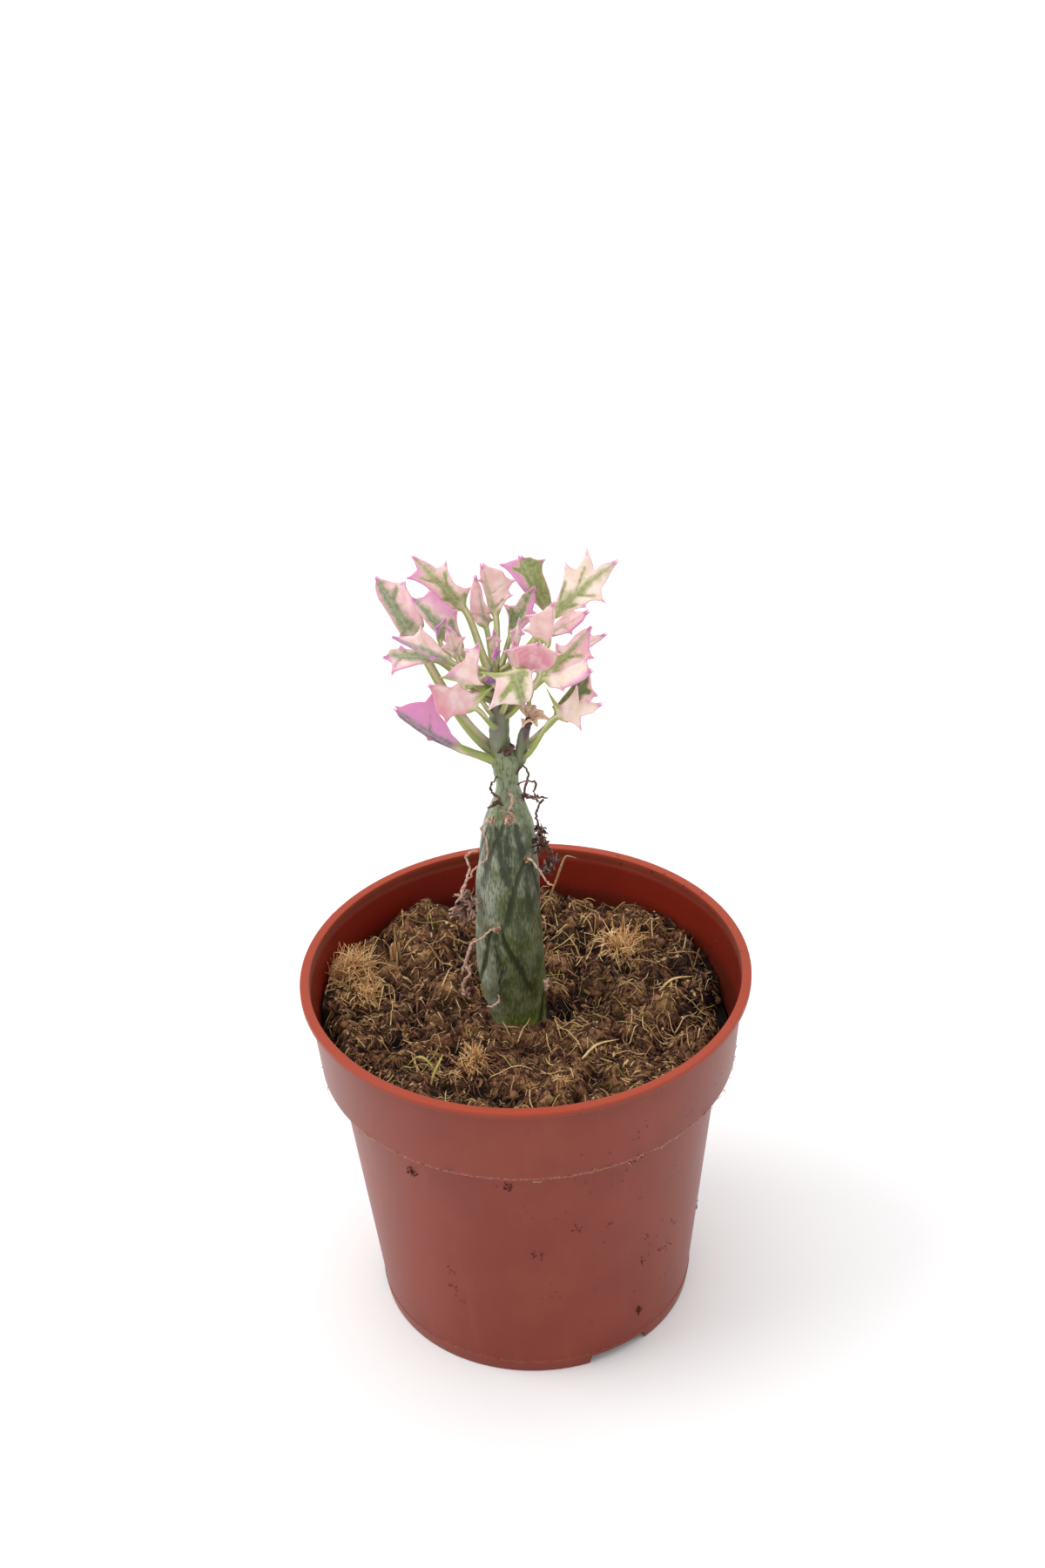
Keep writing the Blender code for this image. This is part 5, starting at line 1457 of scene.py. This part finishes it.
def joint_marks(angle, height, radius):
    """How strongly leaf traces and scars mark each place on the joint."""
    traces = np.zeros_like(angle)
    scars = np.zeros_like(angle)
    pits = np.zeros_like(angle)
    for seed, scar in enumerate(SCARS):
        round_it, below = scar_distance(scar, angle, height, radius)
        near = np.exp(-((np.hypot(round_it, below) / SCAR_SPREAD) ** 2))
        scars = np.maximum(scars, near)
        pits = np.maximum(pits, np.exp(-((np.hypot(round_it, below) / (SCAR_SPREAD / 2)) ** 2)))
        wander = 0.4 * np.sin(0.35 * below + seed)
        fade = ease(below / 2.5) * ease((TRACE_LENGTH - below) / 18.0)
        for side in (-1.0, 0.0, 1.0):
            reach = side * (1.1 + TRACE_SPREAD * below + 0.004 * below * below) + wander
            width = TRACE_WIDTH * (0.6 + 0.03 * below) * (1.0 if side else 1.4)
            line = np.exp(-(((round_it - reach) / width) ** 2)) * fade
            traces = np.maximum(traces, line * (1.0 if side else 0.7))
    return traces, scars, pits


def build_joint():
    """The swollen joint, with its scars raised and its leaf traces sunk."""
    sections = smooth_route(JOINT_SECTIONS, 8)
    heights = np.linspace(JOINT_SECTIONS[0][0], JOINT_SECTIONS[-1][0], JOINT_RINGS)
    angles = np.arange(JOINT_SIDES) * math.tau / JOINT_SIDES
    height, angle = np.meshgrid(heights, angles, indexing="ij")
    middle = np.interp(height, sections[:, 0], sections[:, 1])
    radius = np.interp(height, sections[:, 0], sections[:, 2])
    traces, scars, pits = joint_marks(angle, height, radius)
    fade = ease((height - BARE_FROM + FADE_LENGTH) / FADE_LENGTH) * ease((BARE_TO - height) / FADE_LENGTH)
    swell = 0.16 * np.sin(5 * angle + 0.045 * height) * fade + 0.1 * np.sin(0.19 * height + 2 * angle) * fade
    reach = radius + swell + SCAR_HEIGHT * scars - SCAR_PIT * pits - TRACE_DEPTH * traces * fade
    points = np.stack([middle + reach * np.cos(angle), reach * np.sin(angle), height], axis=-1).reshape(-1, 3)
    mesh = bpy.data.meshes.new("swollen_joint")
    mesh.from_pydata((points * MM).tolist(), [], tube_faces(JOINT_RINGS, JOINT_SIDES))
    store(mesh, "trace", traces.ravel())
    store(mesh, "scar", scars.ravel())
    store(mesh, "pit", pits.ravel())
    return add_mesh("swollen_joint", mesh)


def stem_look():
    """Grey-green skin with a waxy bloom, painted light on its left side, dark leaf traces, fine upright
    flecks and corky scars.
    """
    paints = Paints("stem_skin")
    across, _, height = paints.axes()
    upright = paints.stretch(1.0, 1.0, 0.2)
    flecks = paints.cloud(0.42, 4.0, upright)
    patches = paints.cloud(7.0, 2.0, paints.stretch(1.0, 1.0, 0.4))
    colour = paints.mix(paints.band(patches, 0.35, 0.65), (54, 61, 24), (92, 98, 54))
    upper = paints.band(height, 146.0 * MM, 162.0 * MM)
    colour = paints.mix(paints.times(upper, 0.75), colour, (130, 140, 98))
    foot = paints.plus(height, paints.times(patches, 6.0 * MM))
    foot = paints.plus(foot, paints.times(flecks, 9.0 * MM))
    colour = paints.mix(paints.band(foot, 109.0 * MM, 97.0 * MM), colour, (102, 120, 38))
    # Painted light: the left side, which faces the key light, is painted paler, both in the bloom and across
    # the skin.
    lit_side = paints.times(paints.band(across, -4.0 * MM, -11.0 * MM), 0.85)
    upper_bloom = paints.times(paints.band(height, 128.0 * MM, 142.0 * MM), 0.3)
    bloom_and_lit_side = paints.plus(paints.plus(lit_side, upper_bloom), 0.2)
    bloom_and_lit_side = paints.times(paints.band(paints.cloud(4.5, 3.0), 0.4, 0.64), bloom_and_lit_side)
    colour = paints.mix(bloom_and_lit_side, colour, (156, 161, 142))
    colour = paints.mix(paints.times(lit_side, 0.5), colour, (156, 161, 142))
    colour = paints.mix(paints.times(paints.band(flecks, 0.5, 0.6), 0.62), colour, (50, 66, 34))
    colour = paints.mix(paints.times(paints.band(flecks, 0.44, 0.32), 0.28), colour, (156, 162, 140))
    raggedness = paints.times(paints.minus(flecks, 0.5), 1.1)
    ragged = paints.plus(paints.number("trace"), raggedness)
    colour = paints.mix(paints.times(paints.band(ragged, 0.08, 0.8), 0.9), colour, (36, 44, 14))
    raggedness = paints.times(paints.minus(paints.cloud(0.8), 0.5), 1.2)
    rust = paints.plus(paints.number("scar"), raggedness)
    colour = paints.mix(paints.band(rust, 0.35, 0.75), colour, (150, 106, 78))
    colour = paints.mix(paints.band(paints.number("pit"), 0.5, 0.95), colour, (92, 60, 46))
    relief = paints.bump(flecks, 0.07)
    relief = paints.bump(paints.cloud(0.25, 3.0), 0.02, relief)
    paints.glow_under(0.15, 0.8, 1.0, 0.4)
    return paints.finish(colour, 0.47, relief, 0.45)


def shoot_look():
    """Young grey-green skin, flushed purple towards the leaves."""
    paints = Paints("shoot_skin")
    across, _, height = paints.axes()
    patches = paints.cloud(3.0, 3.0, paints.stretch(1.0, 1.0, 0.5))
    colour = paints.mix(paints.band(patches, 0.4, 0.65), (112, 120, 86), (132, 135, 108))
    flush = paints.times(paints.band(height, 172.0 * MM, 184.0 * MM), paints.band(patches, 0.35, 0.55))
    colour = paints.mix(paints.times(flush, 0.75), colour, (104, 92, 104))
    side_tip = paints.times(paints.band(across, 1.2 * MM, 2.2 * MM),
                            paints.band(height, 175.0 * MM, 179.0 * MM))
    colour = paints.mix(paints.times(side_tip, 0.85), colour, (88, 62, 70))
    flecks = paints.cloud(0.4, 3.0, paints.stretch(1.0, 1.0, 0.2))
    colour = paints.mix(paints.times(paints.band(flecks, 0.55, 0.7), 0.4), colour, (78, 96, 70))
    paints.glow_under(0.15, 0.8, 1.0, 0.4)
    return paints.finish(colour, 0.45, paints.bump(flecks, 0.05), 0.45)


def build_shoots():
    """The main shoot and the side shoot above the neck."""
    heap = Heap()
    for shoot in (MAIN_SHOOT, SIDE_SHOOT):
        route = smooth_route(shoot, 8)
        ripple = 1.0 + 0.035 * np.sin(np.arange(len(route)) * 1.7)
        heap.strand(route[:, :3], route[:, 3] * ripple, 1.0, 0.5, 40, (0, -1, 0))
    return heap.item("shoots")


def build_stem():
    """The skins of the joint and of the shoots."""
    dress(build_joint(), stem_look(), "stem_skin", "stem")
    dress(build_shoots(), shoot_look(), "stem_skin", "stem")


# The leaves


def facing(azimuth, rise):
    """The direction that looks towards an azimuth and rises above the level, in degrees."""
    turn = math.radians(azimuth)
    lift = math.radians(rise)
    return np.array([math.cos(turn) * math.cos(lift), math.sin(turn) * math.cos(lift), math.sin(lift)])


def crown_point(azimuth, reach, height):
    """A place given round the crown's axis."""
    angle = math.radians(azimuth)
    return np.array([CROWN_AXIS_X + reach * math.cos(angle), reach * math.sin(angle), height])


def blade_surface(leaf):
    """Return a function from (along, out) to a point, the local direction forward and the local normal."""
    base = crown_point(*leaf.base)
    chord = crown_point(*leaf.tip) - base
    length = np.linalg.norm(chord)
    forward = unit(chord)
    up = facing(*leaf.faces)
    up = unit(up - forward * np.dot(up, forward))
    right = np.cross(forward, up)
    arc_radius = length / (2 * math.sin(leaf.bow / 2))

    def point(along, out):
        turn = leaf.bow * (along - 0.5)
        ahead = arc_radius * (math.sin(turn) + math.sin(leaf.bow / 2))
        above = arc_radius * (math.cos(leaf.bow / 2) - math.cos(turn))
        heading = math.cos(turn) * forward + math.sin(turn) * up
        normal = math.cos(turn) * up - math.sin(turn) * forward
        sideways = length * math.sin(out * leaf.cup) / leaf.cup
        lift = length * (1.0 - math.cos(out * leaf.cup)) / leaf.cup
        return base + ahead * forward + above * up + sideways * right + lift * normal, heading, normal

    return point, length


def stalk_centres(leaf, base, heading):
    """Middle points and headings of the stalk, from inside the shoot to the blade."""
    heights = [section[2] for section in leaf.shoot]
    x, y, radius = [float(np.interp(leaf.root, heights, [section[axis] for section in leaf.shoot]))
                    for axis in (0, 1, 3)]
    away = unit(np.array([base[0] - x, base[1] - y, 0.0]))
    root = np.array([x, y, leaf.root]) + away * (radius - STALK_SUNK)
    distance = np.linalg.norm(base - root)
    start = unit(away + STALK_RISE * UP) * distance * STALK_PULL
    end = heading * distance * STALK_END_PULL
    for share in np.linspace(0.0, 1.0, STALK_ROWS, endpoint=False):
        square = share * share
        centre = between(root, base, start, end, share)
        slope = ((6 * square - 6 * share) * root + (3 * square - 4 * share + 1) * start
                 + (6 * share - 6 * square) * base + (3 * square - 2 * share) * end)
        yield share, centre, unit(slope)


def is_lobe(rows, index, column):
    """Whether the margin stands out further at this station than at the ones beside it."""
    if index in (0, len(rows) - 1):
        return False
    return rows[index - 1][column] < rows[index][column] >= rows[index + 1][column]


def fine_stations(leaf, length):
    """The outline's stations, and finer ones with a hollow margin between lobes and a spike on each lobe."""
    narrow = leaf.stalk / length
    tip = TIP_HALF_WIDTH / length
    rows = [(0.0, 0.0, narrow, 0.0, narrow)]
    full = leaf.width * BLADE_FULLNESS
    for middle, left_along, left_out, right_along, right_out in leaf.outline:
        rows.append((middle, left_along, left_out * full, right_along, right_out * full))
    rows += [(RIB_END, 1.0, tip, 1.0, tip)]
    rows = np.array(rows)
    smooth = smooth_route(rows, BLADE_STEPS)
    shares = np.linspace(0, len(rows) - 1, len(smooth))
    fine = np.stack([np.interp(shares, np.arange(len(rows)), rows[:, column]) for column in range(5)], axis=1)
    fine[:, 0] = smooth[:, 0]
    for along_column, out_column in ((1, 2), (3, 4)):
        for index in range(len(rows) - 1):
            ends = (is_lobe(rows, index, out_column), is_lobe(rows, index + 1, out_column))
            rise = rows[index + 1, out_column] - rows[index, out_column]
            depth = HOLLOW_MARGIN * abs(rise) if any(ends) else -0.1 * abs(rise)
            for step in range(1, BLADE_STEPS):
                fine[index * BLADE_STEPS + step, out_column] -= depth * math.sin(math.pi * step / BLADE_STEPS)
        for index in range(1, len(rows) - 1):
            if is_lobe(rows, index, out_column):
                away = np.array([rows[index, along_column] - rows[index, 0], rows[index, out_column]])
                fine[index * BLADE_STEPS, (along_column, out_column)] += unit(away) * SPIKE / length
        fine[-1, along_column] += SPIKE / length
        fine[:, out_column] = np.maximum(fine[:, out_column], tip)
    return rows, fine


def leaf_skeleton(rows):
    """Ribs as pairs of (along, out) ends, and the points of the lobes."""
    ribs = [((0.0, 0.0), (RIB_END, 0.0))]
    lobes = [(1.0, 0.0)]
    for side, along_column, out_column in ((-1.0, 1, 2), (1.0, 3, 4)):
        for index, row in enumerate(rows):
            if is_lobe(rows, index, out_column):
                end = (row[along_column], side * row[out_column])
                root = (max(0.0, row[0] - SIDE_RIB_BACK), 0.0)
                ahead = SIDE_RIB_SHARE * end[0] + (1.0 - SIDE_RIB_SHARE) * row[0]
                ribs.append((root, (ahead, SIDE_RIB_OUT * end[1])))
                lobes.append(end)
    return ribs, lobes


def segment_distance(place, ends):
    """How far a place lies from the straight line between two ends."""
    start = np.array(ends[0])
    run = np.array(ends[1]) - start
    share = np.clip(np.dot(place - start, run) / np.dot(run, run), 0.0, 1.0)
    return np.linalg.norm(place - start - share * run)


def stalk_rows(leaf, surface, places):
    """Rows across the stalk, which is flared where it leaves the shoot."""
    base, heading, blade_normal = surface(0.0, 0.0)
    for share, centre, ahead in stalk_centres(leaf, base, heading):
        normal = (1.0 - share) * UP + share * blade_normal
        normal = unit(normal - ahead * np.dot(normal, ahead))
        right = np.cross(ahead, normal)
        half = leaf.stalk * (1.0 + 0.7 * (1.0 - share) ** 4)
        row = []
        for place in places:
            thickness = half * STALK_DEPTH * (1.0 - STALK_ROUNDING * place * place)
            marks = {"rib": abs(place) * half, "rim": 3.0, "across": place, "along": 0.0, "stalk": 1.0,
                     "lobe": 0.0, "root": 1.0 - share}
            row.append((centre + place * half * right, thickness, marks))
        yield row


def blade_rows(leaf, surface, length, places):
    """Rows across the blade, with a channel along its ribs and waved margins."""
    rows, fine = fine_stations(leaf, length)
    ribs, lobes = leaf_skeleton(rows)
    for middle, left_along, left_out, right_along, right_out in fine:
        row = []
        rib = RIB_THICKNESS + (leaf.stalk * STALK_DEPTH - RIB_THICKNESS) * max(0.0, 1.0 - RIB_TAPER * middle)
        for place in places:
            edge_along, edge_out = (left_along, left_out) if place < 0 else (right_along, right_out)
            along = middle + abs(place) * (edge_along - middle)
            out = place * edge_out
            spot = np.array([along, out])
            distances = [length * segment_distance(spot, ends) for ends in ribs]
            rib_distance = min([distances[0]] + [SIDE_RIB_REACH * distance for distance in distances[1:]])
            lobe_distance = length * min(np.linalg.norm(spot - np.array(lobe)) for lobe in lobes)
            point, _, normal = surface(along, out)
            wave = MARGIN_WAVE * place * place * ease(4.0 * along)
            wave *= math.sin(9.0 * along + leaf.root + 2.0 * place)
            channel = RIB_CHANNEL * math.exp(-((rib_distance / 0.7) ** 2))
            thickness = EDGE_THICKNESS + (rib - EDGE_THICKNESS) * (1.0 - abs(place)) ** 2
            marks = {"rib": rib_distance, "rim": (1.0 - abs(place)) * edge_out * length, "across": place,
                     "along": along, "stalk": float(1.0 - ease(along / 0.22)),
                     "lobe": math.exp(-((lobe_distance / 0.9) ** 2)), "root": 0.0}
            row.append((point + (wave - channel) * normal, thickness, marks))
        yield row


def thick_grid(name, rows):
    """A grid shaped into rows of (point, thickness, marks), made solid and smooth."""
    columns = len(rows[0]) - 1
    mesh_tool = bmesh.new()
    bmesh.ops.create_grid(mesh_tool, x_segments=columns, y_segments=len(rows) - 1, size=1.0)
    mesh = bpy.data.meshes.new(name)
    cells = []
    for corner in mesh_tool.verts:
        column = round((corner.co.x + 1.0) / 2 * columns)
        row = round((corner.co.y + 1.0) / 2 * (len(rows) - 1))
        cells.append(rows[row][column])
        corner.co = rows[row][column][0] * MM
    mesh_tool.to_mesh(mesh)
    mesh_tool.free()
    for mark in cells[0][2]:
        store(mesh, mark, [marks[mark] for _, _, marks in cells])
    item = add_mesh(name, mesh)
    group = item.vertex_groups.new(name="thickness")
    for index, (_, thickness, _) in enumerate(cells):
        group.add([index], thickness / FULL_THICKNESS, "REPLACE")
    solid = item.modifiers.new("solid", "SOLIDIFY")
    solid.thickness = FULL_THICKNESS * MM
    solid.offset = 0.0
    solid.vertex_group = group.name
    fine = item.modifiers.new("fine", "SUBSURF")
    fine.levels = 1
    fine.render_levels = 1
    return item


def halfway(first, second):
    """The colour between two colours."""
    return tuple((one + other) // 2 for one, other in zip(first, second))


def leaf_look(name, look):
    """A variegated blade: green along its ribs, pale beyond them, with a coloured rim and lobe points."""
    paints = Paints(name + "_skin")
    across = paints.number("across")
    along = paints.number("along")
    patchy = paints.minus(paints.cloud(1.7, 3.0), 0.5)
    soft = paints.minus(paints.cloud(4.0, 2.0), 0.5)
    lighter = tuple((2 * channel + 250) // 3 for channel in look.pale)
    pale = paints.mix(paints.band(paints.cloud(3.0, 2.0), 0.4, 0.65), look.pale, lighter)
    blush = paints.plus(paints.times(along, look.blush_along), paints.times(across, look.blush_across))
    blush = paints.plus(paints.plus(blush, look.blush_all), paints.times(soft, 0.9))
    colour = paints.mix(paints.times(paints.band(blush, -0.15, 0.55), 0.85), pale, look.blush)
    if look.spread > 0.0:
        rib = paints.minus(paints.number("rib"), paints.times(across, look.lean))
        rib = paints.plus(rib, paints.times(patchy, 2.2))
        rib = paints.plus(rib, paints.times(along, GREEN_FADE))
        halo = halfway(look.green, look.pale)
        colour = paints.mix(paints.band(rib, look.spread + 1.1, look.spread + 0.1), colour, halo)
        dark = tuple(int(0.86 * channel) for channel in look.green)
        green = paints.mix(paints.band(paints.cloud(0.9, 3.0), 0.4, 0.62), look.green, dark)
        colour = paints.mix(paints.band(rib, look.spread + 0.25, look.spread - 0.35), colour, green)
        middle = paints.band(paints.number("rib"), 0.34, 0.1)
        colour = paints.mix(paints.times(middle, 0.35), colour, halfway(look.green, (200, 200, 200)))
    rim = paints.plus(paints.number("rim"), paints.times(soft, 0.7))
    rim_share = paints.times(paints.band(rim, 0.45, 0.05), 0.5)
    colour = paints.mix(rim_share, colour, halfway(look.blush, LILAC))
    colour = paints.mix(paints.times(paints.band(paints.number("lobe"), 0.2, 0.9), 0.7), colour, MAGENTA)
    stalk = paints.mix(paints.band(paints.maths("ABSOLUTE", across), 0.2, 0.7), STALK_PALE, STALK_GREEN)
    stalk = paints.mix(paints.times(paints.band(soft, -0.05, 0.2), 0.5), stalk, look.green)
    colour = paints.mix(paints.band(paints.number("stalk"), 0.1, 0.9), colour, stalk)
    flush = paints.times(paints.band(paints.number("root"), 0.75, 1.0), 0.6)
    colour = paints.mix(flush, colour, (122, 100, 104))
    fine = paints.cloud(0.35, 3.0)
    grains = paints.ramp(fine, ((0.3, (90, 90, 90)), (0.7, (255, 255, 255))))
    colour = paints.mix(0.12, colour, grains, "SOFT_LIGHT")
    relief = paints.bump(paints.cloud(1.6, 3.0), 0.09)
    relief = paints.bump(fine, 0.02, relief)
    paints.glow_under(0.35, 1.1, 0.7, 0.5)
    return paints.finish(colour, 0.4, relief, 0.42)


def build_leaves():
    """Every leaf, with its stalk, as one thick sheet."""
    places = np.linspace(-1.0, 1.0, COLUMNS + 1)
    for leaf in LEAVES:
        surface, length = blade_surface(leaf)
        rows = list(stalk_rows(leaf, surface, places)) + list(blade_rows(leaf, surface, length, places))
        item = thick_grid(leaf.name + "_fine", rows)
        dress(item, leaf_look(leaf.name, LOOKS[leaf.name]), "leaf_" + leaf.hue, leaf.name)


# What has dried


def dried_look(name):
    """Dried skin, from nearly black to tan by its tone."""
    paints = Paints(name)
    mottle = paints.times(paints.minus(paints.cloud(0.9, 4.0), 0.5), 0.9)
    colour = paints.ramp(paints.plus(paints.number("tone"), mottle), (
        (0.1, (44, 30, 28)),
        (0.4, (98, 70, 62)),
        (0.7, (180, 142, 124)),
        (0.95, (222, 188, 166)),
    ))
    relief = paints.bump(paints.cloud(0.35, 4.0), 0.12)
    return paints.finish(colour, 0.72, relief, 0.3)


def build_rosette():
    """The withered rosette: a stub and short curled leaves."""
    heap = Heap()
    stub = smooth_route(STUB, 5)
    heap.strand(stub[:, :3], stub[:, 3], 1.0, 0.25, 20, (0, -1, 0))
    look = dried_look("withered")
    dress(heap.item("withered_stub"), look, "withered", "withered_tuft")
    for index, azimuth in enumerate(PETAL_AZIMUTHS):
        turn = math.radians(azimuth)
        outward = np.array([math.cos(turn), math.sin(turn), 0.0])
        sideways = np.array([-math.sin(turn), math.cos(turn), 0.0])
        reach = PETAL_FULLNESS * PETAL_REACHES[index % len(PETAL_REACHES)]
        rows = []
        for share in np.linspace(0.0, 1.0, PETAL_ROWS):
            height = PETAL_SPACING * index + PETAL_ARCH * math.sin(PETAL_ARCH_TURN * share)
            centre = np.array(PETALS_FROM) + outward * (PETAL_START + reach * share) + UP * height
            half = PETAL_TIP_WIDTH + PETAL_FULLNESS * PETAL_BULGE * math.sin(math.pi * min(0.97, share + 0.1))
            row = []
            for place in np.linspace(-1.0, 1.0, 9):
                curl = PETAL_CURL * place * place + 0.16 * math.sin(7 * share + 3 * place + index)
                tone = 0.92 + 0.25 * share - 0.3 * (1.0 - abs(place)) ** 2
                row.append((centre + place * half * sideways + curl * UP, PETAL_THICKNESS, {"tone": tone}))
            rows.append(row)
        dress(thick_grid(f"withered_petal_{index + 1}", rows), look, "withered", "withered_tuft")


def joint_section(height):
    """Sideways place and radius of the swollen joint at a height."""
    sections = np.array(JOINT_SECTIONS)
    middle = np.interp(height, sections[:, 0], sections[:, 1])
    return float(middle), float(np.interp(height, sections[:, 0], sections[:, 2]))


def crumple(heap, place, reach, tone, random):
    """A crumpled tuft: ribbons that curl round a place."""
    for _ in range(int(7 + 5 * reach)):
        spot = np.array(place) + random.normal(0.0, 0.3, 3) * reach
        heading = unit(random.normal(0.0, 1.0, 3))
        bend = random.normal(0.0, 1.0, 3)
        route = [spot]
        for _ in range(8):
            back = np.array(place) - route[-1]
            heading = unit(heading + 0.5 * bend + 0.55 * back / reach)
            route.append(route[-1] + heading * 0.3 * reach)
        widths = random.uniform(0.35, 0.75) * np.sin(np.linspace(0.6, 2.7, len(route)))
        shade = tone + random.normal(0.0, 0.14)
        heap.strand(route, widths, 0.25, shade, 4, random.normal(0.0, 1.0, 3))


def thread(heap, route, tone, random):
    """A dried, twisted ribbon along a route of (x, y, z, thickness)."""
    smooth = smooth_route(route, 6)
    smooth[1:, :3] += random.normal(0.0, THREAD_WANDER, (len(smooth) - 1, 3))
    widths = THREAD_RADIUS * smooth[:, 3] * random.uniform(0.75, 1.2, len(smooth))
    heap.strand(smooth[:, :3], widths, 0.6, tone, 6, (0, -1, 0))


def scar_place(scar):
    """Where a scar sits on the joint."""
    azimuth, height = SCARS[scar]
    middle, radius = joint_section(height)
    angle = math.radians(azimuth)
    return middle + radius * math.cos(angle), radius * math.sin(angle), height


def build_dried_leaves():
    """The dried leaves that hang from the scars, and scraps that have dried on the skin."""
    random = np.random.default_rng(DRIED_SEED)
    look = dried_look("dried_thread")
    for dried in DRIED_LEAVES:
        heap = Heap()
        for index, route in enumerate(dried.routes):
            if index == 0 and dried.scar in SCARS:
                route = ((*scar_place(dried.scar), 1.3), *route)
            thread(heap, route, dried.tone, random)
        for x, y, z, reach in dried.tufts:
            crumple(heap, (x, y, z), reach, 0.22 + 0.4 * dried.tone, random)
        dress(heap.item(dried.name + "_fine"), look, "withered", dried.name)
    heap = Heap()
    for tone, route in SCRAPS:
        thread(heap, route, tone, random)
    for scar in SCARS:
        crumple(heap, scar_place(scar), 0.75, 0.7, random)
    dress(heap.item("dried_scraps"), look, "withered")


# The stage


def build_camera():
    """The photograph's camera."""
    camera = bpy.data.objects.new("camera", bpy.data.cameras.new("camera"))
    camera.data.lens = CAMERA_LENS
    camera.data.sensor_width = CAMERA_SENSOR
    camera.data.clip_start = 0.01
    camera.data.clip_end = 50.0
    camera.matrix_world = (Matrix.Translation([coordinate * MM for coordinate in CAMERA_PLACE])
                           @ Matrix.Rotation(math.radians(90.0 - CAMERA_PITCH), 4, "X")
                           @ Matrix.Rotation(math.radians(CAMERA_ROLL), 4, "Z"))
    bpy.context.scene.collection.objects.link(camera)
    bpy.context.scene.camera = camera


def build_light(name, toward, spread, power):
    """A wide, even light that shines from the direction toward."""
    light = bpy.data.lights.new(name, "SUN")
    light.angle = math.radians(spread)
    light.energy = power
    item = bpy.data.objects.new(name, light)
    bpy.context.scene.collection.objects.link(item)
    item.rotation_mode = "QUATERNION"
    item.rotation_quaternion = Vector(toward).to_track_quat("Z", "Y")


def build_stage():
    """The pale floor, the even sky and the two soft lights."""
    mesh_tool = bmesh.new()
    bmesh.ops.create_grid(mesh_tool, x_segments=4, y_segments=4, size=FLOOR_SIZE * MM / 2)
    mesh = bpy.data.meshes.new("studio_floor")
    mesh_tool.to_mesh(mesh)
    mesh_tool.free()
    floor = add_mesh("studio_floor", mesh)
    paints = Paints("studio_paper")
    colour = paints.mix(paints.cloud(300.0), (242, 242, 242), (240, 240, 240))
    floor.data.materials.append(paints.finish(colour, 0.8, paints.bump(paints.cloud(1.0), 0.002), 0.2))
    floor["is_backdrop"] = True
    world = bpy.data.worlds.new("studio")
    world.use_nodes = True
    world.node_tree.nodes["Background"].inputs["Color"].default_value = (1.0, 1.0, 1.0, 1.0)
    world.node_tree.nodes["Background"].inputs["Strength"].default_value = SKY_STRENGTH
    bpy.context.scene.world = world
    build_light("key", KEY_FROM, KEY_SPREAD, KEY_POWER)
    build_light("top", TOP_FROM, TOP_SPREAD, TOP_POWER)
    bpy.context.scene.view_settings.view_transform = "Standard"


build_camera()
build_pot()
build_soil()
build_stem()
build_leaves()
build_rosette()
build_dried_leaves()
build_stage()

boxes = {"cad": cad_box, "visual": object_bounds()}
{name: [list(corner) for corner in box] for name, box in boxes.items()}
